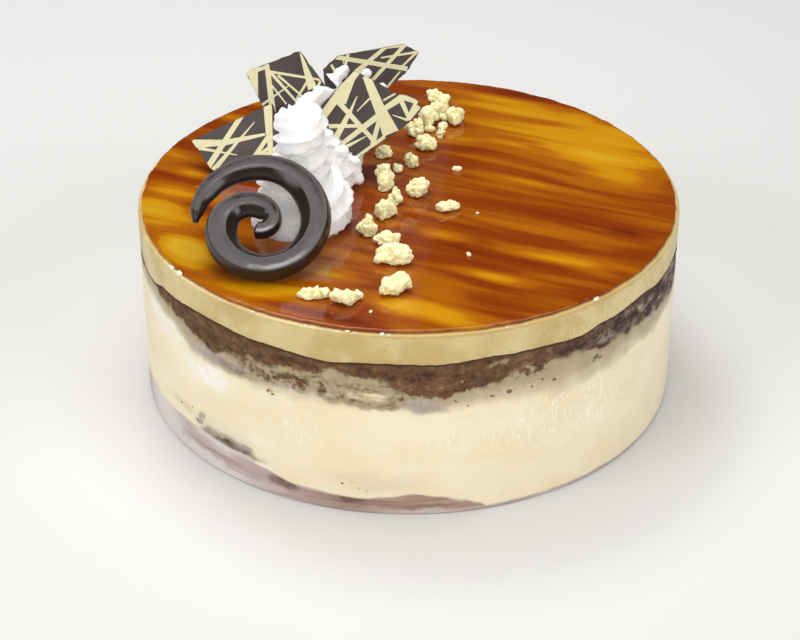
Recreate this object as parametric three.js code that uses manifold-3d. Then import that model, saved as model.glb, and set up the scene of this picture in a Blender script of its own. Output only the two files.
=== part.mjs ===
// Caramel cream cake in millimetres, +Z up, with the origin at the centre of the underside.
// Two chocolate sponges lie between a pale cream and a caramel cream under a caramel glaze.
// The top carries piped cream, four chocolate plaques, a chocolate spiral and pieces of crumble.
import * as THREE from "three";
import { mergeVertices } from "three/addons/utils/BufferGeometryUtils.js";
import Module from "manifold-3d";

// Layers, with heights above the underside
const CAKE_RADIUS = 100;
const CAKE_SIDES = 96;
const BASE_SPONGE_TOP = 19.2;
const BASE_SPONGE_INSET = 2.5;
const UPPER_SPONGE_BOTTOM = 41.5;
const UPPER_SPONGE_TOP = 65.4;
const UPPER_SPONGE_INSET = 2;
const CARAMEL_CREAM_TOP = 73;
const GLAZE_TOP = 74.4;
const GLAZE_INSET = 1;
const RIM_ROUND = 0.6;
const GAP = 0.3;
const CRUMB_RELIEF = 0.7;

// Heights of the edges that show at the side, as [degrees round from +X, millimetres]
const BASE_SPONGE_EDGE = [
  [-152, 12.5],
  [-135, 18.6],
  [-124, 15.5],
  [-112, 6.6],
  [-98, 6],
  [-88, 8.8],
  [-74, 1.2],
  [-20, 0.9],
  [35, 5.5],
  [70, 2],
  [120, 11],
  [165, 6],
];
const UPPER_SPONGE_LOWER_EDGE = [
  [-160, 51],
  [-142, 54],
  [-132, 45.5],
  [-124, 46.2],
  [-118, 42.6],
  [-108, 45.2],
  [-87, 42.6],
  [-80, 46],
  [-68, 47],
  [-60, 55.5],
  [-49, 49],
  [-41, 52],
  [-20, 49],
  [15, 45],
  [50, 51],
  [85, 44],
  [120, 48],
  [160, 43.5],
];
const UPPER_SPONGE_UPPER_EDGE = [
  [-153, 60.3],
  [-131, 63.4],
  [-118, 63],
  [-105, 60.8],
  [-68, 62.4],
  [-51, 60.7],
  [-34, 64.6],
  [-10, 62.8],
  [40, 61.2],
  [85, 63],
  [135, 61],
  [175, 63],
];

// Piped cream: each swirl is a ridged rope that winds up to a blunt tip
const SWIRL_SIDES = 34;
const SWIRL_RINGS = 26;
const SWIRL_TURNS = 3;
const SWIRL_RIDGES = 3;
const SWIRL_GROOVE = 3.2;
const SWIRL_RIDGE = 1.1;
const SWIRL_NARROWING = [0.14, 0.52];
const SWIRL_FOOT = [0.05, 0.45];
const SWIRLS = [
  { x: -38.6, y: -19, radius: 21, neck: 0.49, height: 44, lean: [0.5, 0.5], foot: [-3.2, -4.6] },
  { x: -34.6, y: 11, radius: 17.4, neck: 0.44, height: 42, lean: [7.6, 9.8], foot: [0, 0] },
];

// Chocolate plaques: outlines lie in the front face, from a point that is placed on the cake, and
// the cream keeps clear of the room in front of each
const PLAQUE_THICKNESS = 2;
const ROOM_DEPTH = 9;
const PLAQUES = [
  {
    name: "plaque_left",
    at: [-74.2, 13, 76.1],
    yaw: -20,
    lean: 38,
    outline: [[0, 0.4], [29, 0.6], [27.3, 12.5], [17.7, 29.1], [14.9, 27.3], [-10.6, 10.2]],
    room: [[-14, 4], [23, 4], [22.8, 10], [18.3, 28], [16, 33], [-14, 33]],
  },
  {
    name: "plaque_back_left",
    at: [-44.8, 27, 98.8],
    yaw: -10,
    lean: 24,
    outline: [[-6.3, -9.5], [11.4, -9.6], [15.1, 4.2], [2.7, 18.6], [-14.2, 10.9], [-17.2, 8.8]],
    room: [[-20, -11], [15.5, 4.8], [17, 6], [2.7, 22], [-20, 14]],
  },
  {
    name: "plaque_right",
    at: [-23.7, 6, 88.4],
    yaw: 16,
    lean: 34,
    outline: [
      [-0.7, -3],
      [2.7, -4.3],
      [21.5, 4.7],
      [30.9, 10.6],
      [31.5, 12.8],
      [30.8, 14.8],
      [28.1, 17.2],
      [22.7, 18.4],
      [16.7, 23.6],
      [8.3, 29],
      [-9.5, 14.9],
    ],
    room: [[-9, 13], [-0.9, -2.8], [2.5, -6], [34, 8], [34, 17], [8, 32], [-12, 16.5]],
  },
  {
    name: "plaque_back_right",
    at: [-16.8, 33.6, 102.4],
    yaw: 8,
    lean: 22,
    outline: [
      [-13.7, -6.8],
      [-12, -29.2],
      [-8, -27.6],
      [8.9, -2.1],
      [16.5, 3.6],
      [21.6, 10.9],
      [15.6, 14.1],
      [-9.4, 11.1],
      [-15.1, 6.4],
    ],
    room: [],
  },
];

// Chocolate spiral: a bar with a dished face, coiled in a plane that leans back on the cream
const SPIRAL_AT = [-52.6, -48.6, 89.05];
const SPIRAL_LEAN = 60;
const SPIRAL_START = 183;
const SPIRAL_SWEEP = 646;
const SPIRAL_OUTER = 20.1;
const SPIRAL_INNER = 5;
const SPIRAL_COIL = [226, 479];
const SPIRAL_DRIFT = [
  [0, 1.5],
  [45, 1.1],
  [100, 1.1],
  [170, 0],
  [560, 0],
  [646, -0.9],
];
const SPIRAL_FLATNESS = 0.78;
const SPIRAL_STEPS = 58;
const SPIRAL_HALF_WIDTHS = [
  [0, 2],
  [20, 3],
  [40, 3.8],
  [90, 4.6],
  [160, 5.7],
  [250, 5.3],
  [340, 6],
  [400, 4.7],
  [460, 4.5],
  [540, 3.5],
];

// The bar's section from the middle of its face over its inner side, in half widths and heights
const SPIRAL_SECTION = [
  [-0.14, 0.72],
  [0.24, 0.82],
  [0.36, 0.8],
  [0.8, 0.25],
  [1, -0.2],
  [0.75, -0.85],
  [0, -1],
  [-0.75, -0.85],
  [-1, -0.2],
  [-0.93, 0.35],
  [-0.76, 0.86],
  [-0.64, 0.96],
];

// Crumble, as [x, y, width, depth, height, turn in degrees]
const CRUMBLE = [
  [12.6, 76.3, 10, 8.6, 5.4, 10],
  [18.9, 57.6, 8.4, 7.8, 6.8, 20],
  [8.7, 57.2, 9.6, 10.6, 7.2, 15],
  [2.3, 46.8, 7.2, 7.4, 6.6, 100],
  [12.8, 66.8, 8.6, 7.4, 6.4, 40],
  [12.6, 45.6, 3.8, 3.6, 3.2, 0],
  [6.9, 35.6, 9.2, 6.8, 5.6, -20],
  [-8.9, 29.6, 8, 6.6, 5.4, 30],
  [1, 20.2, 7, 6.4, 5.6, -35],
  [-4.1, 16, 4.4, 4.2, 3.6, 15],
  [-9.3, 4.4, 8.8, 11, 8.6, 20],
  [3.6, -1.4, 9, 8, 6.8, 45],
  [-5.1, -9.4, 6.2, 6.2, 6.6, 0],
  [-8.4, -19.8, 10.2, 8.6, 7.4, 15],
  [14.3, -15, 9.1, 6, 4.2, -5],
  [-14.6, -32.6, 7.7, 6.4, 7.2, 20],
  [-7.8, -39.6, 10.2, 5.4, 4.6, -12],
  [-5.3, -53, 14.4, 8.6, 7.2, -6],
  [-4.4, -74, 13.4, 7.4, 6.8, 32],
  [-32.5, -77, 11.5, 6, 4.8, -8],
  [-21.2, -80.6, 12, 6.8, 5.6, 8],
];
const CRUMBLE_BUMPS = 7;
const CRUMBLE_SEED = 4127;

const wasm = await Module();
wasm.setup();

const cake = new THREE.Group();
const radians = THREE.MathUtils.degToRad;

function colour(hex, roughness) {
  return new THREE.MeshStandardMaterial({ color: hex, roughness, metalness: 0 });
}

const SPONGE = colour(0x4f3626, 0.95);
const PALE_CREAM = colour(0xeedfbb, 0.6);
const CARAMEL_CREAM = colour(0xd8bd84, 0.55);
const GLAZE = colour(0xb86d12, 0.1);
const WHIPPED = colour(0xfdfcf8, 0.6);
const CHOCOLATE = colour(0x3a2c29, 0.35);
const CRUMB = colour(0xf2e2ab, 0.9);

function addNode(name, geometry, material) {
  const mesh = new THREE.Mesh(geometry, material);
  mesh.name = name;
  cake.add(mesh);
  return mesh;
}

// Repeatable numbers from 0 to 1
function seeded(seed) {
  let state = seed;
  return () => {
    state = (state * 16807) % 2147483647;
    return state / 2147483647;
  };
}

// A value eased between [position, value] pairs, held level past both ends
function eased(levels, position) {
  const next = levels.findIndex(([at]) => at > position);
  if (next === 0) return levels[0][1];
  if (next < 0) return levels[levels.length - 1][1];
  const [start, low] = levels[next - 1];
  const [end, high] = levels[next];
  return THREE.MathUtils.lerp(low, high, THREE.MathUtils.smoothstep(position, start, end));
}

// The same round a full turn, where the last pair eases back into the first
function easedRound(levels, degrees) {
  const [first, height] = levels[0];
  const [last, end] = levels[levels.length - 1];
  const closed = [[last - 360, end], ...levels, [first + 360, height]];
  return eased(closed, THREE.MathUtils.euclideanModulo(degrees + 180, 360) - 180);
}

// A turned solid whose profile, from axis to axis, changes with the angle round the axis
function turned(sides, profileAt) {
  const start = profileAt(0, 0);
  const geometry = new THREE.LatheGeometry(start.map(([r, z]) => new THREE.Vector2(r, z)), sides);
  const position = geometry.getAttribute("position");
  for (let side = 0; side <= sides; side++) {
    const step = side % sides;
    const angle = (2 * Math.PI * step) / sides;
    profileAt((360 * step) / sides, step).forEach(([r, z], point) => {
      const index = side * start.length + point;
      position.setXYZ(index, r * Math.cos(angle), r * Math.sin(angle), z);
    });
  }
  return geometry;
}

function toSolid(geometry) {
  const bare = geometry.clone();
  bare.deleteAttribute("normal");
  bare.deleteAttribute("uv");
  const merged = mergeVertices(bare, 1e-3);
  const vertProperties = new Float32Array(merged.getAttribute("position").array);
  const triVerts = new Uint32Array(merged.index.array);
  return new wasm.Manifold(new wasm.Mesh({ numProp: 3, vertProperties, triVerts }));
}

function toGeometry(solid) {
  const mesh = solid.getMesh();
  const geometry = new THREE.BufferGeometry();
  geometry.setAttribute("position", new THREE.BufferAttribute(mesh.vertProperties, 3));
  geometry.setIndex(new THREE.BufferAttribute(mesh.triVerts, 1));
  geometry.computeVertexNormals();
  return geometry;
}

function largestBody(solid) {
  return solid.decompose().reduce((best, body) => (body.volume() > best.volume() ? body : best));
}

// Base sponge: its side shows up to the edge, and above that stands back under the pale cream
function baseSponge() {
  const inner = CAKE_RADIUS - BASE_SPONGE_INSET;
  return turned(CAKE_SIDES, (degrees) => {
    const edge = easedRound(BASE_SPONGE_EDGE, degrees);
    return [
      [0, 0],
      [CAKE_RADIUS, 0],
      [CAKE_RADIUS, edge],
      [inner, edge],
      [inner, BASE_SPONGE_TOP],
      [0, BASE_SPONGE_TOP],
    ];
  });
}

// Pale cream: it runs down over the base sponge and up over the foot of the upper sponge
function paleCream() {
  const lowerInner = CAKE_RADIUS - BASE_SPONGE_INSET + GAP;
  const upperInner = CAKE_RADIUS - UPPER_SPONGE_INSET + GAP;
  return turned(CAKE_SIDES, (degrees) => {
    const bottom = easedRound(BASE_SPONGE_EDGE, degrees) + GAP;
    const top = easedRound(UPPER_SPONGE_LOWER_EDGE, degrees) - GAP;
    return [
      [0, BASE_SPONGE_TOP + GAP],
      [lowerInner, BASE_SPONGE_TOP + GAP],
      [lowerInner, bottom],
      [CAKE_RADIUS, bottom],
      [CAKE_RADIUS, top],
      [upperInner, top],
      [upperInner, UPPER_SPONGE_BOTTOM - GAP],
      [0, UPPER_SPONGE_BOTTOM - GAP],
    ];
  });
}

// Upper sponge: its rough side shows between the two creams
function upperSponge() {
  const inner = CAKE_RADIUS - UPPER_SPONGE_INSET;
  const random = seeded(CRUMBLE_SEED);
  const relief = Array.from({ length: CAKE_SIDES }, () => CAKE_RADIUS - CRUMB_RELIEF * random());
  return turned(CAKE_SIDES, (degrees, step) => {
    const lower = easedRound(UPPER_SPONGE_LOWER_EDGE, degrees);
    const upper = easedRound(UPPER_SPONGE_UPPER_EDGE, degrees);
    return [
      [0, UPPER_SPONGE_BOTTOM],
      [inner, UPPER_SPONGE_BOTTOM],
      [inner, lower],
      [CAKE_RADIUS, lower],
      [relief[step], (lower + upper) / 2],
      [CAKE_RADIUS, upper],
      [inner, upper],
      [inner, UPPER_SPONGE_TOP],
      [0, UPPER_SPONGE_TOP],
    ];
  });
}

// Caramel cream: it runs down over the top of the upper sponge, and its rim is rounded
function caramelCream() {
  const inner = CAKE_RADIUS - UPPER_SPONGE_INSET + GAP;
  return turned(CAKE_SIDES, (degrees) => {
    const bottom = easedRound(UPPER_SPONGE_UPPER_EDGE, degrees) + GAP;
    return [
      [0, UPPER_SPONGE_TOP + GAP],
      [inner, UPPER_SPONGE_TOP + GAP],
      [inner, bottom],
      [CAKE_RADIUS, bottom],
      [CAKE_RADIUS, CARAMEL_CREAM_TOP - RIM_ROUND],
      [CAKE_RADIUS - RIM_ROUND, CARAMEL_CREAM_TOP],
      [0, CARAMEL_CREAM_TOP],
    ];
  });
}

// Caramel glaze: a thin disc with a rounded rim, a little smaller than the cake
function caramelGlaze() {
  const radius = CAKE_RADIUS - GLAZE_INSET;
  const depth = GLAZE_TOP - CARAMEL_CREAM_TOP;
  return turned(CAKE_SIDES, () => [
    [0, CARAMEL_CREAM_TOP],
    [radius - 0.3 * depth, CARAMEL_CREAM_TOP],
    [radius, CARAMEL_CREAM_TOP + 0.4 * depth],
    [radius - 0.2 * depth, CARAMEL_CREAM_TOP + 0.8 * depth],
    [radius - 0.8 * depth, GLAZE_TOP],
    [0, GLAZE_TOP],
  ]);
}

// One piped swirl: grooves part the turns of the rope, and ridges run along each turn
function swirl({ x, y, radius, neck, height, lean, foot }) {
  const pitch = height / SWIRL_TURNS;
  const geometry = turned(SWIRL_SIDES, (degrees) => {
    const profile = [[0, 0]];
    for (let ring = 0; ring < SWIRL_RINGS; ring++) {
      const rise = ring / SWIRL_RINGS;
      const narrowing = THREE.MathUtils.smoothstep(rise, ...SWIRL_NARROWING);
      const tip = Math.sqrt(1 - Math.pow(rise, 8));
      const envelope = radius * THREE.MathUtils.lerp(1, neck, narrowing) * tip;
      const along = (rise * height) / pitch - degrees / 360;
      const groove = SWIRL_GROOVE * (1 - Math.pow(Math.abs(Math.sin(Math.PI * along)), 0.7));
      const ridge = SWIRL_RIDGE * Math.cos(2 * Math.PI * SWIRL_RIDGES * along);
      profile.push([envelope + ((ridge - groove) * envelope) / radius, rise * height]);
    }
    profile.push([0, height]);
    return profile;
  });
  const position = geometry.getAttribute("position");
  for (let i = 0; i < position.count; i++) {
    const rise = position.getZ(i) / height;
    const low = 1 - THREE.MathUtils.smoothstep(rise, ...SWIRL_FOOT);
    position.setX(i, position.getX(i) + x + lean[0] * rise * rise + foot[0] * low);
    position.setY(i, position.getY(i) + y + lean[1] * rise * rise + foot[1] * low);
    position.setZ(i, position.getZ(i) + GLAZE_TOP);
  }
  return toSolid(geometry);
}

// A plaque's plate in its own plane; spare is added on every side
function plate(outline, spare) {
  const shape = new THREE.Shape(outline.map(([u, v]) => new THREE.Vector2(u, v)));
  const geometry = new THREE.ExtrudeGeometry(shape, {
    depth: PLAQUE_THICKNESS,
    bevelEnabled: spare > 0,
    bevelThickness: spare,
    bevelSize: spare,
    bevelSegments: 1,
  });
  return geometry.translate(0, 0, -PLAQUE_THICKNESS);
}

// The room in front of a plaque, from just behind its front face
function roomBefore(outline) {
  const shape = new THREE.Shape(outline.map(([u, v]) => new THREE.Vector2(u, v)));
  const geometry = new THREE.ExtrudeGeometry(shape, { depth: ROOM_DEPTH + GAP, bevelEnabled: false });
  return geometry.translate(0, 0, -GAP);
}

function placePlate(object, { at, yaw, lean }) {
  object.position.set(...at);
  object.rotation.set(Math.PI / 2 - radians(lean), 0, radians(yaw), "ZYX");
  object.updateMatrix();
  return object;
}

// A tapering bar coiled clockwise from its outer tail; spare is added all round
function spiral(spare) {
  const sides = SPIRAL_SECTION.length;
  const geometry = new THREE.CylinderGeometry(1, 1, 1, sides, SPIRAL_STEPS);
  const centreAt = (sweep) => {
    const coil = THREE.MathUtils.smoothstep(sweep, ...SPIRAL_COIL);
    const radius = THREE.MathUtils.lerp(SPIRAL_OUTER, SPIRAL_INNER, coil) + eased(SPIRAL_DRIFT, sweep);
    const angle = radians(SPIRAL_START - sweep);
    return new THREE.Vector2(radius * Math.cos(angle), radius * Math.sin(angle));
  };
  const position = geometry.getAttribute("position");
  for (let i = 0; i < position.count; i++) {
    const [x, z] = [position.getX(i), position.getZ(i)];
    const side = Math.round((Math.atan2(x, z) * sides) / (2 * Math.PI));
    const [inward, high] = SPIRAL_SECTION[THREE.MathUtils.euclideanModulo(side, sides)];
    const onRim = Math.hypot(x, z) > 0.5 ? 1 : 0;
    const part = position.getY(i) + 0.5;
    const sweep = part * SPIRAL_SWEEP;
    const centre = centreAt(sweep);
    const across = centreAt(sweep + 0.5).sub(centreAt(sweep - 0.5)).normalize();
    across.rotateAround(new THREE.Vector2(), -Math.PI / 2);
    const ends = Math.sqrt(Math.min(1, 0.3 + 30 * Math.min(part, 1 - part)));
    const halfWidth = eased(SPIRAL_HALF_WIDTHS, sweep) * ends;
    const offset = inward * onRim * (halfWidth + spare);
    const height = high * onRim * (halfWidth * SPIRAL_FLATNESS + spare);
    position.setXYZ(i, centre.x + across.x * offset, centre.y + across.y * offset, height);
  }
  return geometry;
}

function placeSpiral(object) {
  object.position.set(...SPIRAL_AT);
  object.rotation.set(Math.PI / 2 - radians(SPIRAL_LEAN), 0, 0);
  object.updateMatrix();
  return object;
}

// One piece of crumble: a bumpy lump with a flat foot, fitted to its width, depth and height
function lump([, , width, depth, height], random) {
  const geometry = new THREE.IcosahedronGeometry(1, width < 6.5 ? 1 : 2);
  const bumps = Array.from({ length: CRUMBLE_BUMPS }, () => {
    const direction = new THREE.Vector3(random() - 0.5, random() - 0.5, random() - 0.3);
    return { direction: direction.normalize(), size: 0.18 + 0.3 * random() };
  });
  const position = geometry.getAttribute("position");
  const point = new THREE.Vector3();
  for (let i = 0; i < position.count; i++) {
    point.fromBufferAttribute(position, i).normalize();
    let reach = 0.75;
    for (const { direction, size } of bumps) {
      reach += size * Math.exp(-7 * (1 - point.dot(direction)));
    }
    point.multiplyScalar(reach);
    position.setXYZ(i, point.x, point.y, Math.max(point.z, -0.5));
  }
  geometry.computeBoundingBox();
  const size = geometry.boundingBox.getSize(new THREE.Vector3());
  const centre = geometry.boundingBox.getCenter(new THREE.Vector3());
  geometry.translate(-centre.x, -centre.y, -geometry.boundingBox.min.z);
  return geometry.scale(width / size.x, depth / size.y, height / size.z);
}

addNode("base_sponge", baseSponge(), SPONGE);
addNode("pale_cream", paleCream(), PALE_CREAM);
addNode("upper_sponge", upperSponge(), SPONGE);
addNode("caramel_cream", caramelCream(), CARAMEL_CREAM);
addNode("caramel_glaze", caramelGlaze(), GLAZE);

let piped = SWIRLS.map(swirl).reduce((joined, next) => joined.add(next));
for (const plaque of PLAQUES) {
  placePlate(addNode(plaque.name, plate(plaque.outline, 0), CHOCOLATE), plaque);
  const slot = placePlate(new THREE.Mesh(plate(plaque.outline, GAP)), plaque);
  piped = piped.subtract(toSolid(slot.geometry.applyMatrix4(slot.matrix)));
  if (plaque.room.length === 0) continue;
  const room = placePlate(new THREE.Mesh(roomBefore(plaque.room)), plaque);
  piped = piped.subtract(toSolid(room.geometry.applyMatrix4(room.matrix)));
}
placeSpiral(addNode("chocolate_spiral", spiral(0), CHOCOLATE));
const dent = placeSpiral(new THREE.Mesh(spiral(GAP)));
piped = piped.subtract(toSolid(dent.geometry.applyMatrix4(dent.matrix)));
addNode("whipped_cream", toGeometry(largestBody(piped)), WHIPPED);

const random = seeded(CRUMBLE_SEED);
CRUMBLE.forEach((piece, index) => {
  const name = `crumble_${String(index + 1).padStart(2, "0")}`;
  const mesh = addNode(name, lump(piece, random), CRUMB);
  mesh.position.set(piece[0], piece[1], GLAZE_TOP);
  mesh.rotation.z = radians(piece[5]);
});

export default cake;
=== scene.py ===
"""Caramel cream cake: the fine surfaces and finishes of its layers and toppings."""

import logging
import math
from collections.abc import Callable, Sequence
from dataclasses import dataclass, field
from enum import Enum

import bmesh
import bpy
from mathutils import Euler, Matrix, Vector, noise

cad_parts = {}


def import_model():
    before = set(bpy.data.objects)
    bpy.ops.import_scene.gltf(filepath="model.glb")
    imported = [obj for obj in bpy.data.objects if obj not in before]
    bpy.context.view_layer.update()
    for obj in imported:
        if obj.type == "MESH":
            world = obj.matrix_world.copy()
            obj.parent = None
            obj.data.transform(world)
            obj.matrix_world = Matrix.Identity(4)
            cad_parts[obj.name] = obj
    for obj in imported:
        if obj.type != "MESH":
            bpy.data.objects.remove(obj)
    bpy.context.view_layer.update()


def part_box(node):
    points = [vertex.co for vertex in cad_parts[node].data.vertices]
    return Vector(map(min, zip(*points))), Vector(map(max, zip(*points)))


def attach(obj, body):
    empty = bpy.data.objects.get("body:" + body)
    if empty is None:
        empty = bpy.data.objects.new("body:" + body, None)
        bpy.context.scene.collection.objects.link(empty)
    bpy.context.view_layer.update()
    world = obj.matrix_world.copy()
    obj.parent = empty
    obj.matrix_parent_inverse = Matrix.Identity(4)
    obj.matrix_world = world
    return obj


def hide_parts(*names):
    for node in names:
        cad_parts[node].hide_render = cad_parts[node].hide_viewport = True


LOG = logging.getLogger("cake")
MM = 0.001
BODY = "root"
# The cake's radius and the height of its glaze, in millimetres.
RADIUS = 100.0
GLAZE_TOP = 74.4
# How far red, green and blue light scatter in cream, in metres.
CREAM_SCATTER = (0.004, 0.003, 0.002)

Colour = tuple[float, float, float, float]
Levels = Sequence[tuple[float, float]]
Spot = tuple[float, ...]


class Slot(Enum):
    """The record's material slots."""

    SPONGE = "sponge"
    PALE_CREAM = "pale_cream"
    CARAMEL_CREAM = "caramel_cream"
    GLAZE = "caramel_glaze"
    WHIPPED = "whipped_cream"
    CHOCOLATE = "chocolate"
    CRUMBLE = "crumble"


def shade(red: float, green: float, blue: float) -> Colour:
    """Turn a screen colour into the shader's linear colour.

    Args:
        red: Red from 0 to 255.
        green: Green from 0 to 255.
        blue: Blue from 0 to 255.

    Returns:
        The linear colour with full alpha.
    """
    parts = []
    for level in (red, green, blue):
        part = level / 255
        parts.append(part / 12.92 if part <= 0.04045 else ((part + 0.055) / 1.055) ** 2.4)
    return parts[0], parts[1], parts[2], 1.0


def smoothstep(value: float, low: float, high: float) -> float:
    """Ease from 0 at low to 1 at high.

    Args:
        value: The value to ease.
        low: Where the result is 0.
        high: Where the result is 1.

    Returns:
        The eased value.
    """
    part = min(1.0, max(0.0, (value - low) / (high - low)))
    return part * part * (3 - 2 * part)


def eased(levels: Levels, position: float) -> float:
    """Ease between [position, value] pairs, held level past both ends.

    Args:
        levels: Pairs in rising order of position.
        position: Where the value is wanted.

    Returns:
        The eased value.
    """
    if position <= levels[0][0]:
        return levels[0][1]
    for (start, low), (end, high) in zip(levels, levels[1:]):
        if position < end:
            return low + (high - low) * smoothstep(position, start, end)
    return levels[-1][1]


def eased_round(levels: Levels, degrees: float) -> float:
    """Ease between pairs round a full turn, the last back into the first.

    Args:
        levels: Pairs of degrees and value, in rising order.
        degrees: Angle from +X.

    Returns:
        The eased value.
    """
    first, last = levels[0], levels[-1]
    closed = [(last[0] - 360, last[1]), *levels, (first[0] + 360, first[1])]
    return eased(closed, (degrees + 180) % 360 - 180)


def wander(place: Vector, grain: float, seed: float, octaves: int = 3) -> float:
    """Give fractal noise about zero.

    Args:
        place: Point in millimetres.
        grain: Size of the largest features in millimetres.
        seed: Shift that makes each use different.
        octaves: How many finer layers are added.

    Returns:
        Noise, mostly from -1 to 1.
    """
    spot = place / grain + Vector((seed, 2 * seed, -seed))
    return noise.fractal(spot, 1.0, 2.0, octaves)


def side_point(degrees: float, radius: float, height: float) -> Vector:
    """Give the point at an angle, radius and height, in millimetres."""
    angle = math.radians(degrees)
    return Vector((radius * math.cos(angle), radius * math.sin(angle), height))


def turned_rows(
    steps: int, marks: Sequence[str], lay: Callable[[float], list[Spot]]
) -> bmesh.types.BMesh:
    """Make a closed ring shape of rows, then lay each row by its rule.

    Args:
        steps: Steps round the axis.
        marks: Names of the values that each vertex carries for its material.
        lay: Gives radius, height and marks of every row at an angle in degrees. The first
            and the last row close on the axis.

    Returns:
        The closed shape in metres.
    """
    laid = [lay(360 * step / steps) for step in range(steps)]
    last = len(laid[0]) - 1
    spans = last - 2
    shape = tube(steps, spans, fans=True)
    layers = [shape.verts.layers.float.new(mark) for mark in marks]
    for vertex in shape.verts:
        row = 1 + round(vertex.co.z * spans)
        if vertex.co.xy.length < 0.5:
            row = 0 if row == 1 else last
        angle = math.atan2(vertex.co.y, vertex.co.x)
        step = round(steps * angle / math.tau) % steps
        radius, height, *values = laid[step][row]
        turn = math.tau * step / steps
        vertex.co = Vector((radius * math.cos(turn), radius * math.sin(turn), height)) * MM
        for layer, value in zip(layers, values):
            vertex[layer] = value
    return shape


def tube(sides: int, steps: int, fans: bool = False) -> bmesh.types.BMesh:
    """Make a capped tube of radius 1 from z 0 to 1, cut into rings.

    Args:
        sides: Sides of the section.
        steps: Steps along the length.
        fans: Whether each cap is a fan of triangles round a point on the axis.

    Returns:
        The tube.
    """
    shape = bmesh.new()
    bmesh.ops.create_cone(
        shape,
        cap_ends=True,
        cap_tris=fans,
        segments=sides,
        radius1=1,
        radius2=1,
        depth=1,
        matrix=Matrix.Translation((0, 0, 0.5)),
    )
    long_edges = [edge for edge in shape.edges if abs(edge.verts[0].co.z - edge.verts[1].co.z) > 0.5]
    bmesh.ops.subdivide_edges(shape, edges=long_edges, cuts=steps - 1)
    return shape


def merged_copy(node: str) -> bmesh.types.BMesh:
    """Copy a CAD node's mesh with its loose triangles joined.

    Args:
        node: The node's name.

    Returns:
        The copy in metres.
    """
    shape = bmesh.new()
    shape.from_mesh(bpy.data.objects[node].data)
    bmesh.ops.remove_doubles(shape, verts=shape.verts, dist=1e-6)
    return shape


def fill_box(shape: bmesh.types.BMesh, low: Sequence[float], high: Sequence[float]) -> None:
    """Stretch a shape until it fills a box.

    Args:
        shape: The shape.
        low: The box's lowest corner.
        high: The box's highest corner.
    """
    for axis in range(3):
        levels = [vertex.co[axis] for vertex in shape.verts]
        start, end = min(levels), max(levels)
        for vertex in shape.verts:
            part = (vertex.co[axis] - start) / (end - start)
            vertex.co[axis] = low[axis] + (high[axis] - low[axis]) * part


def scatter(
    spots: Sequence[tuple[float, Vector, float]],
    squash: tuple[float, float, float],
    rough: float,
    grain: float,
    seeds: Sequence[float],
) -> bmesh.types.BMesh:
    """Set small rough lumps on the cake's side.

    Args:
        spots: Angle in degrees, place and radius of every lump.
        squash: Scale of a lump outward, round the side and upward.
        rough: Height of its roughness in millimetres.
        grain: Size of its roughness in millimetres.
        seeds: Shift of the roughness along each axis.

    Returns:
        The lumps in metres.
    """
    shape = bmesh.new()
    for degrees, spot, size in spots:
        turn = Matrix.Rotation(math.radians(degrees), 4, "Z") @ Matrix.Diagonal((*squash, 1))
        place = Matrix.Translation(spot * MM) @ turn
        bmesh.ops.create_icosphere(shape, subdivisions=3, radius=size * MM, matrix=place)
    for vertex in shape.verts:
        place = vertex.co / MM
        vertex.co += Vector([rough * MM * wander(place, grain, seed) for seed in seeds])
    return shape


def refined(shape: bmesh.types.BMesh, name: str, kind: str, **settings: object) -> bmesh.types.BMesh:
    """Run one modifier on a shape and take its result.

    Args:
        shape: The shape, which is used up.
        name: Name for the passing object.
        kind: Blender's modifier type.
        **settings: Values set on the modifier.

    Returns:
        The shape that the modifier gives.
    """
    mesh = bpy.data.meshes.new(name)
    shape.to_mesh(mesh)
    shape.free()
    blank = bpy.data.objects.new(name, mesh)
    bpy.context.scene.collection.objects.link(blank)
    modifier = blank.modifiers.new(name, kind)
    for key, value in settings.items():
        setattr(modifier, key, value)
    depsgraph = bpy.context.evaluated_depsgraph_get()
    result = bmesh.new()
    result.from_mesh(blank.evaluated_get(depsgraph).to_mesh())
    bpy.data.objects.remove(blank)
    bpy.data.meshes.remove(mesh)
    return result


def set_out(
    name: str,
    shape: bmesh.types.BMesh,
    slot: Slot,
    materials: Sequence[bpy.types.Material],
    nodes: Sequence[str] = (),
) -> bpy.types.Object:
    """Turn a shape into a piece that rides on the cake.

    Args:
        name: The piece's name.
        shape: Its shape in metres, which is used up.
        slot: The record's slot for its finish; not used.
        materials: Its materials in the order of its faces' numbers.
        nodes: The CAD nodes that it stands for.

    Returns:
        The finished object.
    """
    mesh = bpy.data.meshes.new(name)
    for face in shape.faces:
        face.smooth = True
    shape.to_mesh(mesh)
    shape.free()
    for material in materials:
        mesh.materials.append(material)
    piece = bpy.data.objects.new(name, mesh)
    bpy.context.scene.collection.objects.link(piece)
    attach(piece, BODY)
    if nodes:
        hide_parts(*nodes)
    LOG.info("%s: %d faces", name, len(mesh.polygons))
    return piece


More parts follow.
